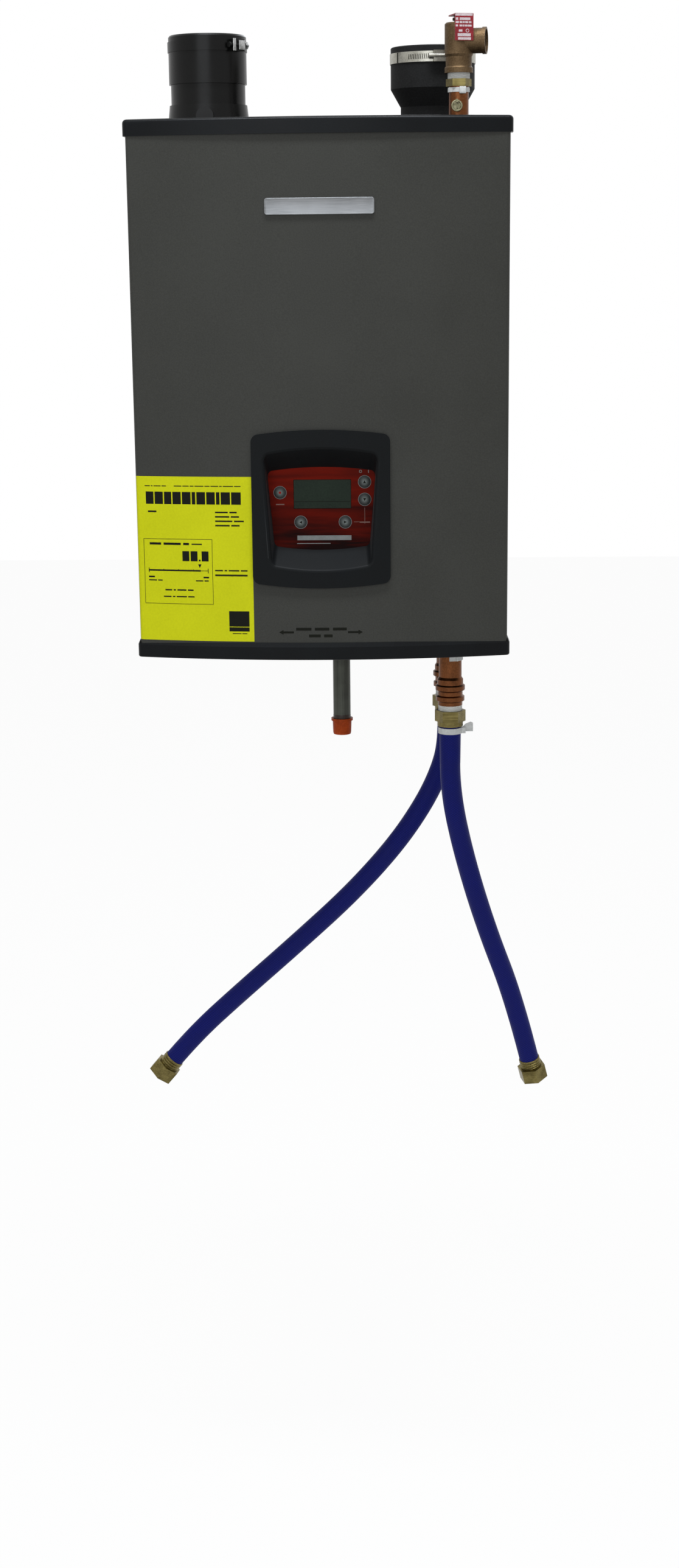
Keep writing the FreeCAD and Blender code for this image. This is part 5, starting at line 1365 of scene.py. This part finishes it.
@dataclass
class Hoses:
    """The two heating hoses and the couplings on their far ends."""

    diameter: float = 0.0244
    supply_start: Triple = (0.148, -0.240, -0.6814)
    supply_length: float = 0.4325
    return_start: Triple = (0.1463, -0.148, -0.6454)
    return_length: float = 0.5873
    ferrule: float = 0.0133
    ferrule_length: float = 0.0122
    chamfer: float = 0.0008
    groove_depth: float = 0.0009
    groove_first: float = 0.0020
    groove_pitch: float = 0.0032
    groove_step: float = 0.0006
    grooves: int = 3
    nut_corners: float = 0.018
    nut_bore: float = 0.0126
    nut_start: float = 0.012
    nut_height: float = 0.018

    # The hoses' routes from where they start, in millimetres
    SUPPLY: ClassVar[tuple[Triple, ...]] = (
        (0, 0, 0), (0, 0, -34), (17, 24, -120), (46, 50, -222), (82, 74, -322), (103, 90, -408),
    )
    RETURN: ClassVar[tuple[Triple, ...]] = (
        (0, 0, 0), (0, 0, -31), (-8.7, 1, -66), (-29, 2, -109.5), (-65, 4, -164), (-121, 6, -228),
        (-194, 9, -297), (-264, 12, -361), (-322, 15, -416), (-352, 17, -452),
    )

    def hose(self, name: str, start: Triple, route: Sequence[Triple], length: float) -> Object:
        """Hang one hose on its route, with its coupling.

        Args:
            name: The hose's name, which is also its node's.
            start: Where it leaves its cuff.
            route: Its points from there, in millimetres.
            length: Its real length.

        Returns:
            The hose.
        """
        points = [Vector(start) + Vector(point) * MM for point in route]
        line = bpy.data.curves.new(name + "_line", "CURVE")
        line.dimensions = "3D"
        line.bevel_depth = self.diameter / 2
        line.bevel_resolution = 6
        line.resolution_u = 14
        line.use_fill_caps = True
        spline = line.splines.new("NURBS")
        spline.points.add(len(points) - 1)
        for control, point in zip(spline.points, points):
            control.co = (*point, 1.0)
        spline.order_u = 3
        spline.use_endpoint_u = True
        line.materials.append(HOSE.material())
        made = bpy.data.objects.new(name + "_braid", line)
        bpy.context.scene.collection.objects.link(made)
        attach(made, Body.CABINET.value)
        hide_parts(name)
        way = (points[-1] - points[-2]).normalized()
        end = self.coupling(name + "_coupling", points[-1], way)
        LOG.info("%s, %.3f m", name, length)
        return made

    def coupling(self, name: str, end: Vector, way: Vector) -> Object:
        """Make the swivel coupling on a hose's end: a grooved ferrule and a nut.

        Args:
            name: The coupling's name.
            end: The hose's end.
            way: The hose's direction there.

        Returns:
            The coupling.
        """
        outer, inner = self.ferrule, self.ferrule - self.groove_depth
        profile = [(0.0, 0.0), (outer - self.chamfer, 0.0), (outer, self.chamfer)]
        for i in range(self.grooves):
            base = self.groove_first + self.groove_pitch * i
            for step, radius in enumerate((outer, inner, inner, outer)):
                profile.append((radius, base + self.groove_step * step))
        profile += [(outer, self.ferrule_length), (0.0, self.ferrule_length)]
        ring_nut = nut(self.nut_corners, self.nut_bore, self.nut_height)
        whole = gathered([lathe(profile, 36), moved(ring_nut, (0, 0, self.nut_start))])
        moved(whole, end, Vector((0, 0, 1)).rotation_difference(way).to_matrix())
        return piece(name, whole, BRASS)

    def dress(self) -> None:
        """Hang both hoses; together they stand for all three of the CAD's hose nodes."""
        supply = self.hose("hose_supply", self.supply_start, self.SUPPLY, self.supply_length)
        self.hose("hose_return", self.return_start, self.RETURN, self.return_length)
        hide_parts("hose_ends")


class NodeDresser:
    """Gives every CAD node the finish of its slot, or one of its own."""

    SLOTS: ClassVar[dict[str, Finish]] = {
        "cover_grey": COVER_PAINT,
        "trim_black": TRIM_ABS,
        "chassis_grey": CHASSIS_PAINT,
        "zinc_steel": ZINC,
        "stainless": STAINLESS,
        "fascia_red": FILM,
        "display_grey": DISPLAY,
        "board_green": BOARD,
        "housing_black": HOUSING_NYLON,
        "vent_black": VENT_PP,
        "boot_rubber": BOOT_EPDM,
        "copper_tube": COPPER,
        "bronze_cast": BRONZE,
        "brass_bright": BRASS,
        "tape_white": TAPE,
        "tie_white": NYLON,
        "iron_pipe": IRON,
        "cap_orange": CAP_PE,
        "hose_blue": HOSE,
        "lever_red": LEVER_RED,
        "cast_alloy": ALLOY,
    }
    OWN: ClassVar[dict[str, Finish]] = {"control_bezel": BEZEL_ABS, "bleed_cap": DULL_BRASS}

    def finish(self, name: str, slot: str) -> Finish:
        """Choose a node's finish.

        Args:
            name: The node's name.
            slot: Its slot in the record.

        Returns:
            Its own finish where it has one, and otherwise its slot's.
        """
        if slot == "key_silver":
            return key_finish(name.removeprefix("button_"))
        return self.OWN.get(name, self.SLOTS[slot])

    def dress(self) -> None:
        """Set each node's finish in its own slot."""
        for name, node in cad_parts.items():
            for place in node.material_slots:
                finish = self.finish(name, place.material.name.split(".")[0])
                place.material = finish.material()
                LOG.info("%s in %s", name, finish.name)


@dataclass
class Studio:
    """The floor, the light and the camera."""

    floor_height: float = -1.69
    floor_half: float = 9.0
    place: Triple = (0.0980, -2.8417, -0.0810)
    yaw: float = 0.0319
    pitch: float = 0.2361
    roll: float = -0.0106
    lens: float = 51.067
    sensor: float = 36.0
    lamp_colour: str = "#F4F9FF"
    sky_colour: str = "#F6F8FA"
    ambient: float = 0.37

    # Each lamp's name, place, target, width and depth, and power in watts
    LAMPS: ClassVar[tuple[tuple[str, Triple, Triple, Pair, float], ...]] = (
        ("ceiling", (0.0, -0.95, 2.1), (0.0, -0.3, -0.2), (1.6, 0.4), 70.0),
        ("front_fill", (-0.6, -3.6, 0.6), (0.0, -0.2, -0.3), (2.2, 2.2), 27.0),
        ("rear_fill", (0.8, 2.6, 1.6), (0.0, 0.0, -0.3), (2.0, 2.0), 24.0),
    )

    def camera(self) -> None:
        """Set the camera where the photograph was taken from."""
        flat, fall = math.cos(self.pitch), math.sin(self.pitch)
        ahead = Vector((-math.sin(self.yaw) * flat, math.cos(self.yaw) * flat, -fall))
        right = Vector((math.cos(self.yaw), math.sin(self.yaw), 0.0))
        up = right.cross(ahead)
        level = right * math.cos(self.roll) + up * math.sin(self.roll)
        upright = up * math.cos(self.roll) - right * math.sin(self.roll)
        optics = bpy.data.cameras.new("camera")
        optics.lens = self.lens
        optics.sensor_width = self.sensor
        made = bpy.data.objects.new("camera", optics)
        turned = Matrix((level, upright, -ahead)).transposed().to_4x4()
        made.matrix_world = Matrix.Translation(self.place) @ turned
        bpy.context.scene.collection.objects.link(made)
        bpy.context.scene.camera = made

    def floor(self) -> None:
        """Lay the pale floor."""
        bm = bmesh.new()
        bmesh.ops.create_grid(bm, x_segments=1, y_segments=1, size=self.floor_half)
        bmesh.ops.translate(bm, verts=bm.verts, vec=(0, 0, self.floor_height))
        mesh = bpy.data.meshes.new("floor")
        bm.to_mesh(mesh)
        bm.free()
        mesh.materials.append(STUDIO_FLOOR.material())
        made = bpy.data.objects.new("floor", mesh)
        bpy.context.scene.collection.objects.link(made)

    def lamp(self, name: str, place: Triple, target: Triple, size: Pair, power: float) -> None:
        """Hang one soft lamp.

        Args:
            name: The lamp's name.
            place: Where it hangs.
            target: What it points at.
            size: Its face's width and depth.
            power: Its power in watts.
        """
        light = bpy.data.lights.new(name, "AREA")
        light.shape = "RECTANGLE"
        light.size, light.size_y = size
        light.energy = power
        light.color = linear(self.lamp_colour)[:3]
        made = bpy.data.objects.new(name, light)
        made.location = place
        way = Vector(target) - Vector(place)
        made.rotation_euler = way.to_track_quat("-Z", "Y").to_euler()
        bpy.context.scene.collection.objects.link(made)

    def sky(self) -> None:
        """Make a world that shows white and lights softly."""
        world = bpy.data.worlds.new("studio")
        bpy.context.scene.world = world
        world.use_nodes = True
        tree = world.node_tree
        tree.nodes.clear()
        shades = ((self.sky_colour, self.ambient), ("#FFFFFF", 1.0))
        mix: dict[int, NodeSocket] = {0: seen_directly(tree)}
        for i, (colour, strength) in enumerate(shades, 1):
            light = {"Color": linear(colour), "Strength": strength}
            mix[i] = add_node(tree, "ShaderNodeBackground", light).outputs[0]
        mixed = add_node(tree, "ShaderNodeMixShader", mix)
        add_node(tree, "ShaderNodeOutputWorld", {"Surface": mixed.outputs[0]})

    def light(self) -> None:
        """Light from the ceiling, with broad fills from the front and from behind."""
        for lamp in self.LAMPS:
            self.lamp(*lamp)
        self.sky()
        bpy.context.scene.view_settings.view_transform = "Standard"


def main() -> None:
    """Build the studio, the hoses and every dressed sub-assembly."""
    logging.basicConfig(level=logging.INFO, format="%(name)s: %(message)s")
    studio = Studio()
    studio.camera()
    for kind in (Hoses, NodeDresser, CoverDressing, ControlPrint, TopFittings, LowerFittings):
        kind().dress()
    PanelScrews().dress()
    studio.floor()
    studio.light()


if __name__ == "__main__":
    main()
